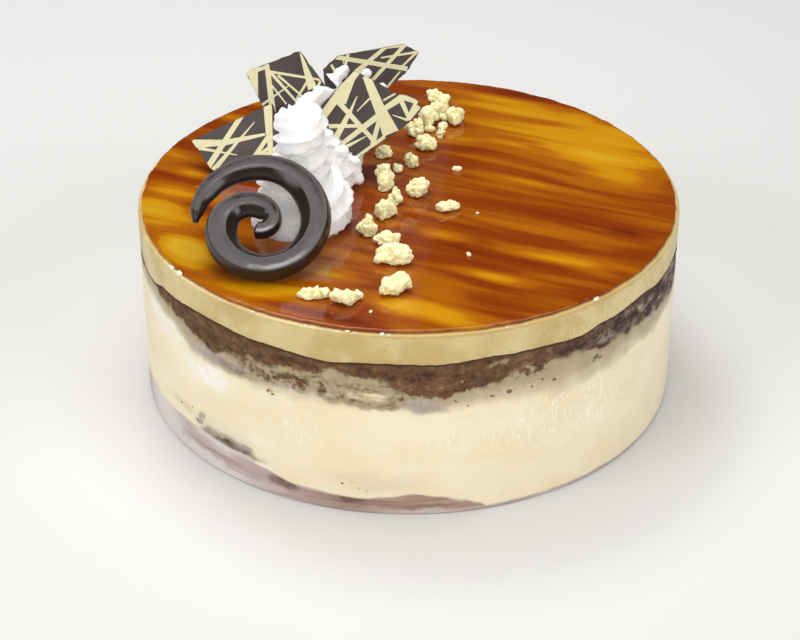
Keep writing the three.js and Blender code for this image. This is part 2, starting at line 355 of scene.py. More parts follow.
class Recipe:
    """Wires one procedural material, with its patterns in millimetres of the piece."""

    def __init__(self, name: str) -> None:
        """Start a material with its shader and the piece's own coordinates.

        Args:
            name: The material's name.
        """
        self.material = bpy.data.materials.new(name)
        self.material.use_nodes = True
        self.tree = self.material.node_tree
        self.surface = self.tree.nodes["Principled BSDF"]
        self.place = self.tree.nodes.new("ShaderNodeTexCoord").outputs["Object"]

    def feed(self, socket: bpy.types.NodeSocket, value: object) -> None:
        """Link a socket to another one, or set its value.

        Args:
            socket: The input to feed.
            value: An output, or the value itself.
        """
        if isinstance(value, bpy.types.NodeSocket):
            self.tree.links.new(value, socket)
        else:
            socket.default_value = value

    def grain(self, size: tuple[float, float, float], turn: float = 0.0) -> bpy.types.NodeSocket:
        """Stretch the coordinates so that one unit is a feature's size.

        Args:
            size: Length of a feature along each axis in millimetres.
            turn: Turn of the pattern about Z in degrees.

        Returns:
            The stretched coordinates.
        """
        node = self.tree.nodes.new("ShaderNodeMapping")
        node.vector_type = "TEXTURE"
        self.feed(node.inputs["Vector"], self.place)
        self.feed(node.inputs["Rotation"], (0, 0, math.radians(turn)))
        self.feed(node.inputs["Scale"], [length * MM for length in size])
        return node.outputs["Vector"]

    def noise(
        self,
        place: bpy.types.NodeSocket,
        detail: float = 3.0,
        roughness: float = 0.5,
        distortion: float = 0.0,
    ) -> bpy.types.NodeSocket:
        """Give noise from 0 to 1 on stretched coordinates.

        Args:
            place: Coordinates from grain().
            detail: Finer layers of noise.
            roughness: Strength of the finer layers.
            distortion: How far the pattern is bent.

        Returns:
            The noise.
        """
        node = self.tree.nodes.new("ShaderNodeTexNoise")
        self.feed(node.inputs["Vector"], place)
        self.feed(node.inputs["Scale"], 1.0)
        self.feed(node.inputs["Detail"], detail)
        self.feed(node.inputs["Roughness"], roughness)
        self.feed(node.inputs["Distortion"], distortion)
        return node.outputs[0]

    def cells(self, place: bpy.types.NodeSocket) -> bpy.types.NodeSocket:
        """Give the distance to the nearest of scattered points.

        Args:
            place: Coordinates from grain().

        Returns:
            The distance.
        """
        node = self.tree.nodes.new("ShaderNodeTexVoronoi")
        self.feed(node.inputs["Vector"], place)
        self.feed(node.inputs["Scale"], 1.0)
        return node.outputs["Distance"]

    def mark(self, name: str) -> bpy.types.NodeSocket:
        """Read a value that the piece's vertices carry.

        Args:
            name: The value's name.

        Returns:
            The value.
        """
        node = self.tree.nodes.new("ShaderNodeAttribute")
        node.attribute_name = name
        return node.outputs["Fac"]

    def sum(self, action: str, first: object, second: object = 0.0) -> bpy.types.NodeSocket:
        """Work out one Math node.

        Args:
            action: Blender's name of the operation.
            first: A socket or number.
            second: A socket or number.

        Returns:
            The result.
        """
        node = self.tree.nodes.new("ShaderNodeMath")
        node.operation = action
        self.feed(node.inputs[0], first)
        self.feed(node.inputs[1], second)
        return node.outputs[0]

    def line(self, value: object, slope: float, start: float = 0.0) -> bpy.types.NodeSocket:
        """Scale a value and shift it.

        Args:
            value: A socket.
            slope: What it is multiplied by.
            start: What is then added.

        Returns:
            The shifted value.
        """
        result = self.sum("MULTIPLY_ADD", value, slope)
        result.node.inputs[2].default_value = start
        return result

    def band(self, value: object, low: float, high: float, end: float = 1.0) -> bpy.types.NodeSocket:
        """Ease a value from 0 at low to end at high.

        Args:
            value: The socket to ease.
            low: Where the result is 0; it may be above high.
            high: Where the result is end.
            end: The result at high.

        Returns:
            The eased value.
        """
        node = self.tree.nodes.new("ShaderNodeMapRange")
        node.interpolation_type = "SMOOTHSTEP"
        self.feed(node.inputs["Value"], value)
        flipped = low > high
        self.feed(node.inputs["From Min"], high if flipped else low)
        self.feed(node.inputs["From Max"], low if flipped else high)
        self.feed(node.inputs["To Min"], end if flipped else 0.0)
        self.feed(node.inputs["To Max"], 0.0 if flipped else end)
        return node.outputs["Result"]

    def ramp(self, value: object, stops: Sequence[tuple[float, Colour]]) -> bpy.types.NodeSocket:
        """Colour a value from 0 to 1.

        Args:
            value: The socket to colour.
            stops: Positions and their colours, in rising order.

        Returns:
            The colour.
        """
        node = self.tree.nodes.new("ShaderNodeValToRGB")
        node.color_ramp.interpolation = "EASE"
        while len(node.color_ramp.elements) < len(stops):
            node.color_ramp.elements.new(1.0)
        for element, (position, colour) in zip(node.color_ramp.elements, stops):
            element.position = position
            element.color = colour
        self.feed(node.inputs[0], value)
        return node.outputs["Color"]

    def mix(self, share: object, first: object, second: object) -> bpy.types.NodeSocket:
        """Mix two colours.

        Args:
            share: How much of the second shows, from 0 to 1.
            first: A colour or socket.
            second: A colour or socket.

        Returns:
            The mixed colour.
        """
        node = self.tree.nodes.new("ShaderNodeMix")
        node.data_type = "RGBA"
        self.feed(node.inputs[0], share)
        self.feed(node.inputs[6], first)
        self.feed(node.inputs[7], second)
        return node.outputs[2]

    def dent(self, height: object, depth: float, strength: float = 1.0) -> None:
        """Bump the surface.

        Args:
            height: The relief from 0 to 1.
            depth: Its depth in millimetres.
            strength: How strongly it shows.
        """
        node = self.tree.nodes.new("ShaderNodeBump")
        self.feed(node.inputs["Strength"], strength)
        self.feed(node.inputs["Distance"], depth * MM)
        self.feed(node.inputs["Height"], height)
        normal = self.surface.inputs["Normal"]
        if normal.is_linked:
            self.feed(node.inputs["Normal"], normal.links[0].from_socket)
        self.feed(normal, node.outputs["Normal"])

    def set(self, **values: object) -> None:
        """Set or link the shader's sockets, named with underscores for spaces."""
        for key, value in values.items():
            self.feed(self.surface.inputs[key.replace("_", " ")], value)


@dataclass(frozen=True)
class Crumb:
    """Three tones of chocolate sponge, from its pores to its palest grains; the base band's tones and the
    mauve crumb's lightest tone also carry painted reflection and sheen.
    """

    dark: Colour
    body: Colour
    light: Colour

    def stops(self) -> tuple[tuple[float, Colour], ...]:
        """Place the tones on the sponge's grain."""
        return (0.3, self.dark), (0.5, self.body), (0.72, self.light)


@dataclass(frozen=True)
class SideFinish:
    """The side as its ring pressed it: pale cream, bare crumb, fog of both, and the base band, whose pale
    colour is a painted reflection over the sponge.
    """

    cream: Colour
    deep: Colour
    fleck: Colour
    white: Colour
    fog: Colour
    grey: Colour
    brown: Crumb
    red: Crumb
    mauve: Crumb
    shadow: Colour
    # The base band's tones: the sponge washed pale by a painted reflection.
    base: Crumb
    less_reflected: Crumb
    base_reflection: Colour
    stain: Colour

    def cream_colour(self, recipe: Recipe) -> bpy.types.NodeSocket:
        """Blotch the pale cream, and paint highlights on it as light vertical streaks.

        Args:
            recipe: The material being wired.

        Returns:
            The cream's colour.
        """
        blotch = recipe.noise(recipe.grain((22, 22, 13)), 3, 0.5, 0.3)
        colour = recipe.mix(recipe.band(blotch, 0.36, 0.66), self.cream, self.deep)
        # Painted highlights: light vertical streaks where the marks say so.
        streak = recipe.noise(recipe.grain((0.6, 0.6, 2.6)), 2, 0.5)
        share = recipe.sum("MULTIPLY", recipe.mark("fleck"), recipe.band(streak, 0.54, 0.66))
        colour = recipe.mix(share, colour, self.fleck)
        soft = recipe.noise(recipe.grain((3.5, 3.5, 2.4)), 4, 0.6)
        share = recipe.sum("MULTIPLY", recipe.mark("white"), recipe.band(soft, 0.3, 0.6))
        return recipe.mix(share, colour, self.white)

    def crumb_colour(self, recipe: Recipe, grain: bpy.types.NodeSocket) -> bpy.types.NodeSocket:
        """Colour the bare crumb, redder or more mauve where its marks say so.

        Args:
            recipe: The material being wired.
            grain: The crumb's grain from 0 to 1.

        Returns:
            The crumb's colour.
        """
        colour = recipe.ramp(grain, self.brown.stops())
        colour = recipe.mix(recipe.mark("red"), colour, recipe.ramp(grain, self.red.stops()))
        return recipe.mix(recipe.mark("mauve"), colour, recipe.ramp(grain, self.mauve.stops()))

    def base_colour(self, recipe: Recipe) -> bpy.types.NodeSocket:
        """Streak the base band along its layers, its pale colour a painted reflection over the sponge,
        and stain it where its marks say so.

        Args:
            recipe: The material being wired.

        Returns:
            The base's colour.
        """
        level = recipe.noise(recipe.grain((34, 34, 1.6)), 4, 0.5, 0.3)
        # Painted reflection: the sponge's tones washed pale, less so where the red mark lies.
        reflected_band = recipe.ramp(level, self.base.stops())
        colour = recipe.mix(recipe.mark("red"), reflected_band, recipe.ramp(level, self.less_reflected.stops()))
        rough = recipe.noise(recipe.grain((2.4, 2.4, 1.2)), 4, 0.6)
        share = recipe.sum("MULTIPLY", recipe.mark("mauve"), recipe.line(rough, 1.2, 0.25))
        colour = recipe.mix(share, colour, self.stain)
        # Palest painted reflection, of the board, where the grey mark lies on the base band.
        return recipe.mix(recipe.mark("grey"), colour, self.base_reflection)

    def material(self, name: str) -> bpy.types.Material:
        """Wire the side for one piece, whose vertices carry every mark.

        Args:
            name: The material's name.

        Returns:
            The material.
        """
        recipe = Recipe(name)
        cloud = recipe.noise(recipe.grain((9, 9, 5)), 4, 0.55)
        amount = recipe.sum("MULTIPLY", recipe.mark("crumb"), recipe.line(cloud, 0.9, 0.55))
        grit = recipe.noise(recipe.grain((1.8, 1.8, 1.5)), 4, 0.6)
        mottle = recipe.noise(recipe.grain((4.4, 4.4, 3)), 3, 0.55)
        uneven = recipe.sum("ADD", recipe.line(grit, 1.7, -0.85), recipe.line(mottle, 1.3, -0.65))
        uneven = recipe.sum("MULTIPLY", uneven, recipe.line(recipe.mark("grit"), 1.0, 0.12))
        uneven = recipe.sum("MULTIPLY", uneven, recipe.band(amount, 0.04, 0.3))
        bare = recipe.band(recipe.sum("ADD", amount, uneven), 0.32, 0.88)
        amount = recipe.sum("ADD", amount, recipe.line(uneven, 0.3))
        haze = recipe.noise(recipe.grain((14, 14, 6)), 3)
        share = recipe.sum("ADD", recipe.mark("grey"), recipe.line(haze, 1.2, -0.6))
        fog = recipe.mix(recipe.band(share, 0.05, 0.75), self.fog, self.grey)
        colour = recipe.mix(recipe.band(amount, 0.0, 0.36), self.cream_colour(recipe), fog)
        grain = recipe.noise(recipe.grain((2.8, 2.8, 2.0)), 6, 0.7)
        coarse = recipe.noise(recipe.grain((7, 7, 4)), 3, 0.5)
        # In the mauve crumb the coarse pattern is stronger: its light patches are partly painted sheen,
        # its dark ones the crumb's own tone.
        depth = recipe.line(recipe.mark("mauve"), 1.0, 0.6)
        grain = recipe.sum("ADD", grain, recipe.sum("MULTIPLY", recipe.line(coarse, 1.0, -0.5), depth))
        colour = recipe.mix(bare, colour, self.crumb_colour(recipe, grain))
        # Painted reflection over the sponge of the base band.
        colour = recipe.mix(recipe.mark("soaked"), colour, self.base_colour(recipe))
        colour = recipe.mix(recipe.mark("shadow"), colour, self.shadow)
        recipe.set(
            Base_Color=colour,
            Roughness=recipe.line(bare, 0.35, 0.45),
            Specular_IOR_Level=0.3,
            Coat_Weight=0.05,
            Coat_Roughness=0.2,
            Subsurface_Weight=0.08,
            Subsurface_Radius=CREAM_SCATTER,
            Subsurface_Scale=0.5,
        )
        recipe.dent(recipe.sum("MULTIPLY", grain, bare), 0.35, 0.6)
        recipe.dent(recipe.noise(recipe.grain((1.4, 1.4, 2.2)), 4), 0.08, 0.5)
        return recipe.material


@dataclass(frozen=True)
class CaramelCreamFinish:
    """Caramel cream: tan with soft blotches, fine pores and a rim darkened by painted shade."""

    name: str
    body: Colour
    deep: Colour
    light: Colour
    pore: Colour
    rim: Colour

    def material(self) -> bpy.types.Material:
        """Wire the cream, whose marks rim and fleck come from its vertices.

        Returns:
            The material.
        """
        recipe = Recipe(self.name)
        blotch = recipe.noise(recipe.grain((24, 24, 18)), 3, 0.5, 0.4)
        colour = recipe.mix(recipe.band(blotch, 0.4, 0.6), self.body, self.deep)
        patch = recipe.noise(recipe.grain((13, 13, 12)), 3, 0.5)
        colour = recipe.mix(recipe.band(patch, 0.4, 0.7, 0.6), colour, self.light)
        streak = recipe.noise(recipe.grain((0.5, 0.5, 3.4)), 2, 0.5)
        share = recipe.sum("MULTIPLY", recipe.mark("fleck"), recipe.band(streak, 0.5, 0.7, 0.7))
        colour = recipe.mix(share, colour, self.light)
        pores = recipe.band(recipe.cells(recipe.grain((2.4, 2.4, 2.4))), 0.2, 0.09)
        some = recipe.band(recipe.noise(recipe.grain((11, 11, 7)), 3), 0.5, 0.66, 0.75)
        colour = recipe.mix(recipe.sum("MULTIPLY", pores, some), colour, self.pore)
        # Painted shade on the rounded rim.
        colour = recipe.mix(recipe.mark("rim"), colour, self.rim)
        recipe.set(
            Base_Color=colour,
            Roughness=recipe.line(blotch, 0.3, 0.3),
            Coat_Weight=0.2,
            Coat_Roughness=0.2,
            Subsurface_Weight=0.08,
            Subsurface_Radius=CREAM_SCATTER,
            Subsurface_Scale=0.5,
        )
        recipe.dent(recipe.noise(recipe.grain((1.4, 1.4, 2.2)), 4), 0.08, 0.5)
        recipe.dent(recipe.band(recipe.cells(recipe.grain((2.4, 2.4, 2.4))), 0.06, 0.2), 0.2, 0.4)
        return recipe.material


@dataclass(frozen=True)
class PourAndShadow:
    """One soft patch of tone in the glaze, mostly streaks poured into it and two painted shadows: its
    middle, half length, half width and tone.
    """

    x: float
    y: float
    length: float
    width: float
    lift: float


@dataclass(frozen=True)
class GlazeFinish:
    """Mirror glaze: soft streaks of gold, amber and burnt caramel under a clear wet skin, and two painted
    shadows.
    """

    name: str
    turn: float
    burnt: Colour
    brown: Colour
    amber: Colour
    gold: Colour
    bright: Colour
    pours_and_shadows: Sequence[PourAndShadow]

    def along(self, place: Vector) -> Vector:
        """Turn a point so that its x runs along the streaks."""
        return Matrix.Rotation(math.radians(-self.turn), 3, "Z") @ place

    def tone(self, place: Vector) -> float:
        """Give the glaze's tone, from 0 for burnt to 1 for bright gold.

        Args:
            place: Point on the top in millimetres.

        Returns:
            The tone.
        """
        line = self.along(place)
        bend = Vector((line.x / 45, line.y / 24, 3.0))
        line += Vector((7 * noise.noise(bend), 3.5 * noise.noise(bend + Vector((7, 3, 1))), 0))
        tone = 0.34 + 0.2 * noise.fractal(Vector((line.x / 80, line.y / 9, 5.0)), 1.0, 2.0, 3)
        for pour_and_shadow in self.pours_and_shadows:
            away = line - self.along(Vector((pour_and_shadow.x, pour_and_shadow.y, 0)))
            reach = math.hypot(away.x / pour_and_shadow.length, away.y / pour_and_shadow.width)
            tone += pour_and_shadow.lift * (1 - smoothstep(reach, 0.1, 1.45))
        return min(1.0, max(0.0, tone))

    def material(self) -> bpy.types.Material:
        """Wire the glaze, whose mark tone comes from its vertices.

        Returns:
            The material.
        """
        recipe = Recipe(self.name)
        thin = recipe.noise(recipe.grain((60, 4, 30), self.turn), 2, 0.5, 0.4)
        value = recipe.sum("ADD", recipe.mark("tone"), recipe.line(thin, 0.3, -0.15))
        colour = recipe.ramp(
            value,
            (
                (0.05, self.burnt),
                (0.26, self.brown),
                (0.5, self.amber),
                (0.72, self.gold),
                (0.95, self.bright),
            ),
        )
        recipe.set(Base_Color=colour, Roughness=0.04, IOR=1.42)
        recipe.dent(recipe.noise(recipe.grain((26, 5, 10), self.turn), 2), 0.012, 0.5)
        return recipe.material


@dataclass(frozen=True)
class SoftFinish:
    """Something soft and torn, such as piped cream: one tone, with painted shade in the hollows of its
    torn grain.
    """

    name: str
    body: Colour
    shaded: Colour
    glow: float = 0.5
    depth: float = 1.0

    def material(self) -> bpy.types.Material:
        """Wire the tone with a fine torn grain.

        Returns:
            The material.
        """
        recipe = Recipe(self.name)
        tear = recipe.noise(recipe.grain((1.5, 1.5, 1.1)), 5, 0.6)
        # Painted shade: the darker tone fills the low parts of the torn bump.
        colour = recipe.mix(recipe.band(tear, 0.52, 0.25), self.body, self.shaded)
        recipe.set(
            Base_Color=colour,
            Roughness=recipe.band(tear, -0.6, 1.4, 0.8),
            Subsurface_Weight=self.glow,
            Subsurface_Radius=(0.004, 0.0038, 0.0034),
            Subsurface_Scale=self.depth,
        )
        recipe.dent(tear, 0.35, 0.5)
        return recipe.material


@dataclass(frozen=True)
class ChocolateFinish:
    """Dark chocolate: satin, faintly bloomed, with fine mould marks."""

    name: str
    body: Colour
    bloom: Colour
    roughness: float

    def material(self) -> bpy.types.Material:
        """Wire the chocolate with a thin grey bloom and small pits.

        Returns:
            The material.
        """
        recipe = Recipe(self.name)
        cloud = recipe.noise(recipe.grain((11, 11, 11)), 5, 0.6)
        fine = recipe.noise(recipe.grain((1.2, 1.2, 1.2)), 4, 0.6)
        colour = recipe.mix(recipe.band(cloud, 0.42, 0.75, 0.6), self.body, self.bloom)
        rough = recipe.line(cloud, 0.18, self.roughness - 0.09)
        recipe.set(Base_Color=colour, Roughness=rough, IOR=1.5)
        recipe.dent(fine, 0.11, 0.4)
        recipe.dent(recipe.band(recipe.cells(recipe.grain((3.1, 3.1, 3.1))), 0.1, 0.2), 0.08, 0.4)
        return recipe.material


@dataclass(frozen=True)
class StreakFinish:
    """Pale cocoa-butter streaks laid on the plaques."""

    name: str
    body: Colour
    thin: Colour

    def material(self) -> bpy.types.Material:
        """Wire the streaks, thinner where the chocolate shows through.

        Returns:
            The material.
        """
        recipe = Recipe(self.name)
        wear = recipe.noise(recipe.grain((3, 3, 3)), 5, 0.65)
        colour = recipe.mix(recipe.band(wear, 0.5, 0.78, 0.7), self.body, self.thin)
        recipe.set(Base_Color=colour, Roughness=recipe.line(wear, 0.3, 0.3), IOR=1.45)
        recipe.dent(wear, 0.05, 0.4)
        return recipe.material


@dataclass(frozen=True)
class CrumbleFinish:
    """Baked butter crumble: pale straw, with painted shade, browner, in its hollows."""

    name: str
    pale: Colour
    straw: Colour
    hollow_shade: Colour

    def material(self) -> bpy.types.Material:
        """Wire the crumble, whose mark hollow comes from its vertices.

        Returns:
            The material.
        """
        recipe = Recipe(self.name)
        grain = recipe.noise(recipe.grain((1.1, 1.1, 1.1)), 5, 0.65)
        patch = recipe.noise(recipe.grain((4, 4, 4)), 3)
        colour = recipe.ramp(grain, ((0.3, self.straw), (0.62, self.pale)))
        colour = recipe.mix(recipe.band(patch, 0.5, 0.72, 0.3), colour, self.straw)
        # Painted shade in the hollows.
        colour = recipe.mix(recipe.band(recipe.mark("hollow"), 0.1, 0.9, 0.25), colour, self.hollow_shade)
        recipe.set(
            Base_Color=colour,
            Roughness=recipe.band(grain, -1.5, 1.2, 0.95),
            Subsurface_Weight=0.5,
            Subsurface_Radius=(0.003, 0.0024, 0.0014),
            Subsurface_Scale=0.8,
        )
        recipe.dent(grain, 0.3, 0.6)
        return recipe.material


@dataclass(frozen=True)
class Edge:
    """A wavy edge round the cake's side, ragged by a seeded noise."""

    levels: Levels
    ragged: float
    grain: float
    seed: float

    def height(self, degrees: float) -> float:
        """Give the ragged edge's height at an angle.

        Args:
            degrees: Angle from +X.

        Returns:
            The height in millimetres.
        """
        place = side_point(degrees, RADIUS, 0)
        coarse = wander(place, self.grain, self.seed, 4)
        fine = wander(place, self.grain / 5, self.seed + 9, 3)
        return eased_round(self.levels, degrees) + self.ragged * (coarse + 0.45 * fine)


@dataclass(frozen=True)
class Dab:
    """A soft patch on the side: its angle, height, half width in degrees, half height, strength."""

    turn: float
    level: float
    wide: float
    tall: float
    lift: float = 1.0

    def turned(self, degrees: float) -> float:
        """Give how far an angle lies from the middle, as a part of the half width."""
        return ((degrees - self.turn + 180) % 360 - 180) / self.wide

    def share(self, degrees: float, height: float) -> float:
        """Give the strength at a point, fading to 0 just past the outline."""
        reach = math.hypot(self.turned(degrees), (height - self.level) / self.tall)
        return self.lift * (1 - smoothstep(reach, 0.3, 1.2))


class Mark(Enum):
    """What the vertices of the side carry for its finish."""

    CRUMB = "crumb"
    GRIT = "grit"
    # A greyer, paler tint: painted reflection on the base band and in the patch at -28 degrees, the fog's
    # own grey elsewhere.
    GREY = "grey"
    RED = "red"
    MAUVE = "mauve"
    WHITE = "white"
    # Light vertical streaks: painted highlights on the pale cream.
    FLECK = "fleck"
    # The base band, where a painted reflection washes the sponge pale.
    SOAKED = "soaked"
    SHADOW = "shadow"


MARK_NAMES = [mark.value for mark in Mark]
UNMARKED = [0.0] * len(Mark)


@dataclass(frozen=True)
class SideDress:
    """Where crumb shows on the side, how far its fog runs down, what is rubbed over it, and where painted
    shade, reflection and highlights lie on it.
    """

    crumb_low: Edge
    fog_low: Edge
    reflected_base_top: Edge
    shadow_top: Edge
    dabs: dict[Mark, Sequence[Dab]]
    fog_depth: float = 0.4
    warp: float = 1.6

    def at(self, degrees: float) -> Callable[[float], list[float]]:
        """Give the rule for every mark at one angle.

        Args:
            degrees: Angle from +X.

        Returns:
            A function that turns a height in millimetres into the marks, in the order of Mark.
        """
        crumb_low = self.crumb_low.height(degrees)
        fog_low = min(self.fog_low.height(degrees), crumb_low - 0.8)
        reflected_base_top = self.reflected_base_top.height(degrees)
        shadow_top = self.shadow_top.height(degrees)
        near: dict[Mark, list[Dab]] = {}
        for mark, dabs in self.dabs.items():
            near[mark] = [dab for dab in dabs if abs(dab.turned(degrees)) < 3]

        def marks(height: float) -> list[float]:
            """Give the marks at one height.

            Args:
                height: Height in millimetres.

            Returns:
                The marks from 0 to 1, in the order of Mark.
            """
            place = side_point(degrees, RADIUS, height)
            turn = degrees + self.warp * wander(place, 7, 63.0)
            level = height + self.warp * wander(place, 7, 67.0)
            values = {mark: sum(dab.share(turn, level) for dab in dabs) for mark, dabs in near.items()}
            fogged = min(1.0, max(0.0, (level - fog_low) / (crumb_low - fog_low)))
            values[Mark.CRUMB] += self.fog_depth * fogged**0.6
            bared = smoothstep(level, crumb_low - 1.6, crumb_low + 1.6)
            values[Mark.CRUMB] += (1 - self.fog_depth) * bared
            # Painted reflection on the base band, below its top edge.
            values[Mark.SOAKED] = 1 - smoothstep(height, reflected_base_top - 0.5, reflected_base_top + 0.5)
            values[Mark.SHADOW] += smoothstep(height, shadow_top - 1.4, shadow_top - 0.4)
            return [min(1.0, max(0.0, values[mark])) for mark in Mark]

        return marks


@dataclass
class Layers:
    """The cake's body: two sponges, two creams and the glaze, as rows spun round the axis."""

    sponge_high: Edge
    radius: float = RADIUS
    steps: int = 1080
    base_top: float = 19.2
    base_inset: float = 2.5
    sponge_bottom: float = 41.5
    sponge_top: float = 65.4
    sponge_inset: float = 2.0
    caramel_top: float = 73.0
    glaze_top: float = GLAZE_TOP
    glaze_inset: float = 1.0
    overlap: float = 1.0
    crisp: float = 0.04
    base_least: float = 0.4
    cream_lap: float = 1.2
    base_edge: Edge = Edge(
        (
            (-152, 12.5), (-135, 18.6), (-124, 15.5), (-112, 6.6), (-98, 6), (-88, 8.8), (-74, 1.2),
            (-20, 0.9), (35, 5.5), (70, 2), (120, 11), (165, 6),
        ),
        ragged=0.5,
        grain=7.0,
        seed=3.1,
    )
    sponge_low: Edge = Edge(
        (
            (-160, 51), (-142, 54), (-132, 45.5), (-124, 46.2), (-118, 42.6), (-108, 45.2), (-87, 42.6),
            (-80, 46), (-68, 47), (-60, 55.5), (-49, 49), (-41, 52), (-20, 49), (15, 45), (50, 51),
            (85, 44), (120, 48), (160, 43.5),
        ),
        ragged=1.1,
        grain=6.0,
        seed=11.7,
    )
    caramel_fleck: Levels = ((-80, 0), (-50, 1), (0, 0.8), (60, 0), (120, 0.6), (170, 0))
    # How much painted shade darkens the rim, round the cake.
    caramel_rim_shade: Levels = (
        (-170, 0), (-105, 0.1), (-93, 0.9), (-45, 0.9), (-25, 0.3), (60, 0.8), (140, 0),
    )

    def skin(self, place: Vector) -> float:
        """Give the radius of the pressed side at a point, the same for every layer that meets there."""
        return self.radius + 0.1 * wander(place, 22, 4.4) + 0.05 * wander(place, 4, 8.8)

    def base_line(self, degrees: float) -> float:
        """Give the height on the side where the pale cream starts."""
        return max(self.base_least, self.base_edge.height(degrees))

    def sponge_line(self, degrees: float) -> float:
        """Give the height on the side where the upper sponge starts."""
        return max(self.sponge_bottom + self.cream_lap, self.sponge_low.height(degrees))

    def wall(self, low: float, high: float, rows: int) -> list[float]:
        """Give the heights of rows up the side, with a close pair that keeps each end crisp.

        Args:
            low: Height of the first row in millimetres.
            high: Height of the last row.
            rows: How many rows there are.

        Returns:
            The heights.
        """
        inner = [low + (high - low) * row / (rows - 3) for row in range(1, rows - 3)]
        return [low, low + self.crisp, *inner, high - self.crisp, high]

    def base_sponge(self, dress: SideDress, finish: bpy.types.Material) -> bpy.types.Object:
        """Build the base sponge, whose crumb breaks through along its upper edge and whose band below
        carries a painted reflection.

        Args:
            dress: What shows on the side.
            finish: The side's material.

        Returns:
            The piece.
        """
        rows = 34

        def lay(degrees: float) -> list[Spot]:
            """Lay the rows at one angle.

            Args:
                degrees: Angle from +X.

            Returns:
                The rows, from the axis out and back to it.
            """
            edge = self.base_line(degrees)
            inner = self.radius - self.base_inset
            marks = dress.at(degrees)
            spots: list[Spot] = [(0, 0, *UNMARKED), (self.radius - 0.8, 0, *marks(0))]
            for height in self.wall(0.3, edge, rows):
                place = side_point(degrees, self.radius, height)
                spots.append((self.skin(place), height, *marks(height)))
            spots.append((inner, edge + 0.1, *UNMARKED))
            spots += [(inner, self.base_top, *UNMARKED), (0, self.base_top, *UNMARKED)]
            return spots

        shape = turned_rows(self.steps, MARK_NAMES, lay)
        return set_out("base_sponge_side", shape, Slot.SPONGE, [finish], ["base_sponge"])

    def pale_cream(self, dress: SideDress, finish: bpy.types.Material) -> bpy.types.Object:
        """Build the pale cream between the two sponges.

        Args:
            dress: What shows on the side.
            finish: The side's material.

        Returns:
            The piece.
        """
        rows = 66

        def lay(degrees: float) -> list[Spot]:
            """Lay the rows at one angle.

            Args:
                degrees: Angle from +X.

            Returns:
                The rows, from the axis out and back to it.
            """
            low = self.base_line(degrees)
            high = self.sponge_line(degrees)
            lower = self.radius - self.base_inset
            upper = self.radius - self.sponge_inset
            marks = dress.at(degrees)
            spots: list[Spot] = [(0, self.base_top, *UNMARKED), (lower, self.base_top, *UNMARKED)]
            spots.append((lower, low, *UNMARKED))
            for height in self.wall(low, high, rows):
                place = side_point(degrees, self.radius, height)
                spots.append((self.skin(place), height, *marks(height)))
            spots += [(upper, high + 0.1, *UNMARKED), (upper, self.sponge_bottom, *UNMARKED)]
            spots.append((0, self.sponge_bottom, *UNMARKED))
            return spots

        shape = turned_rows(self.steps, MARK_NAMES, lay)
        return set_out("pale_cream_side", shape, Slot.PALE_CREAM, [finish], ["pale_cream"])

    def upper_sponge(self, dress: SideDress, finish: bpy.types.Material) -> bpy.types.Object:
        """Build the upper sponge, with open pores where its crumb is bare.

        Args:
            dress: What shows on the side.
            finish: The side's material.

        Returns:
            The piece.
        """
        rows = 44

        def lay(degrees: float) -> list[Spot]:
            """Lay the rows at one angle.

            Args:
                degrees: Angle from +X.

            Returns:
                The rows, from the axis out and back to it.
            """
            low = self.sponge_line(degrees)
            high = self.sponge_high.height(degrees)
            inner = self.radius - self.sponge_inset
            marks = dress.at(degrees)
            bottom = self.sponge_bottom
            spots: list[Spot] = [(0, bottom, *UNMARKED), (inner, bottom, *UNMARKED)]
            spots.append((inner, low - 0.1, *UNMARKED))
            for height in self.wall(low, high + self.overlap, rows):
                place = side_point(degrees, self.radius, height)
                values = marks(height)
                bare = smoothstep(values[0], 0.4, 0.9) * smoothstep(height - low, 0, 1.5)
                distances, _ = noise.voronoi(place / 3.1)
                pore = 1 - smoothstep(distances[0], 0.12, 0.42)
                relief = 0.25 * values[-1] + bare * (0.12 + 0.4 * pore + 0.25 * wander(place, 2.4, 3.3))
                spots.append((self.skin(place) - relief, height, *values))
            spots.append((inner, high + self.overlap + 0.1, *UNMARKED))
            spots += [(inner, self.sponge_top, *UNMARKED), (0, self.sponge_top, *UNMARKED)]
            return spots

        shape = turned_rows(self.steps, MARK_NAMES, lay)
        return set_out("upper_sponge_side", shape, Slot.SPONGE, [finish], ["upper_sponge"])

    def caramel_cream(self, finish: CaramelCreamFinish) -> bpy.types.Object:
        """Build the caramel cream with its rounded rim.

        Args:
            finish: The cream's finish.

        Returns:
            The piece.
        """
        rows = 22
        round_off = 0.6

        def lay(degrees: float) -> list[Spot]:
            """Lay the rows at one angle.

            Args:
                degrees: Angle from +X.

            Returns:
                The rows, from the axis out and back to it.
            """
            low = self.sponge_high.height(degrees)
            upper = self.radius - self.sponge_inset
            high = self.caramel_top
            spots: list[Spot] = [(0, self.sponge_top, 0, 0), (upper, self.sponge_top, 0, 0)]
            spots.append((upper, low, 0, 0))
            fleck = eased_round(self.caramel_fleck, degrees)
            rim_shade_share = eased_round(self.caramel_rim_shade, degrees)
            for height in self.wall(low, high - round_off, rows):
                place = side_point(degrees, self.radius, height)
                tuck = 0.12 * (1 - smoothstep(height - low, -0.1, 0.8))
                # Painted shade along the top of the side and over the rounded rim.
                rim_shade_amount = rim_shade_share * smoothstep(height + 0.3 * wander(place, 5, 24.4), high - 1.4, high - 0.7)
                spots.append((self.skin(place) - tuck, height, rim_shade_amount, fleck))
            for turn in (30, 60, 90):
                bend = math.radians(turn)
                radius = self.radius - round_off * (1 - math.cos(bend))
                spots.append((radius, high - round_off * (1 - math.sin(bend)), rim_shade_share, 0))
            spots.append((0, high, 0, 0))
            return spots

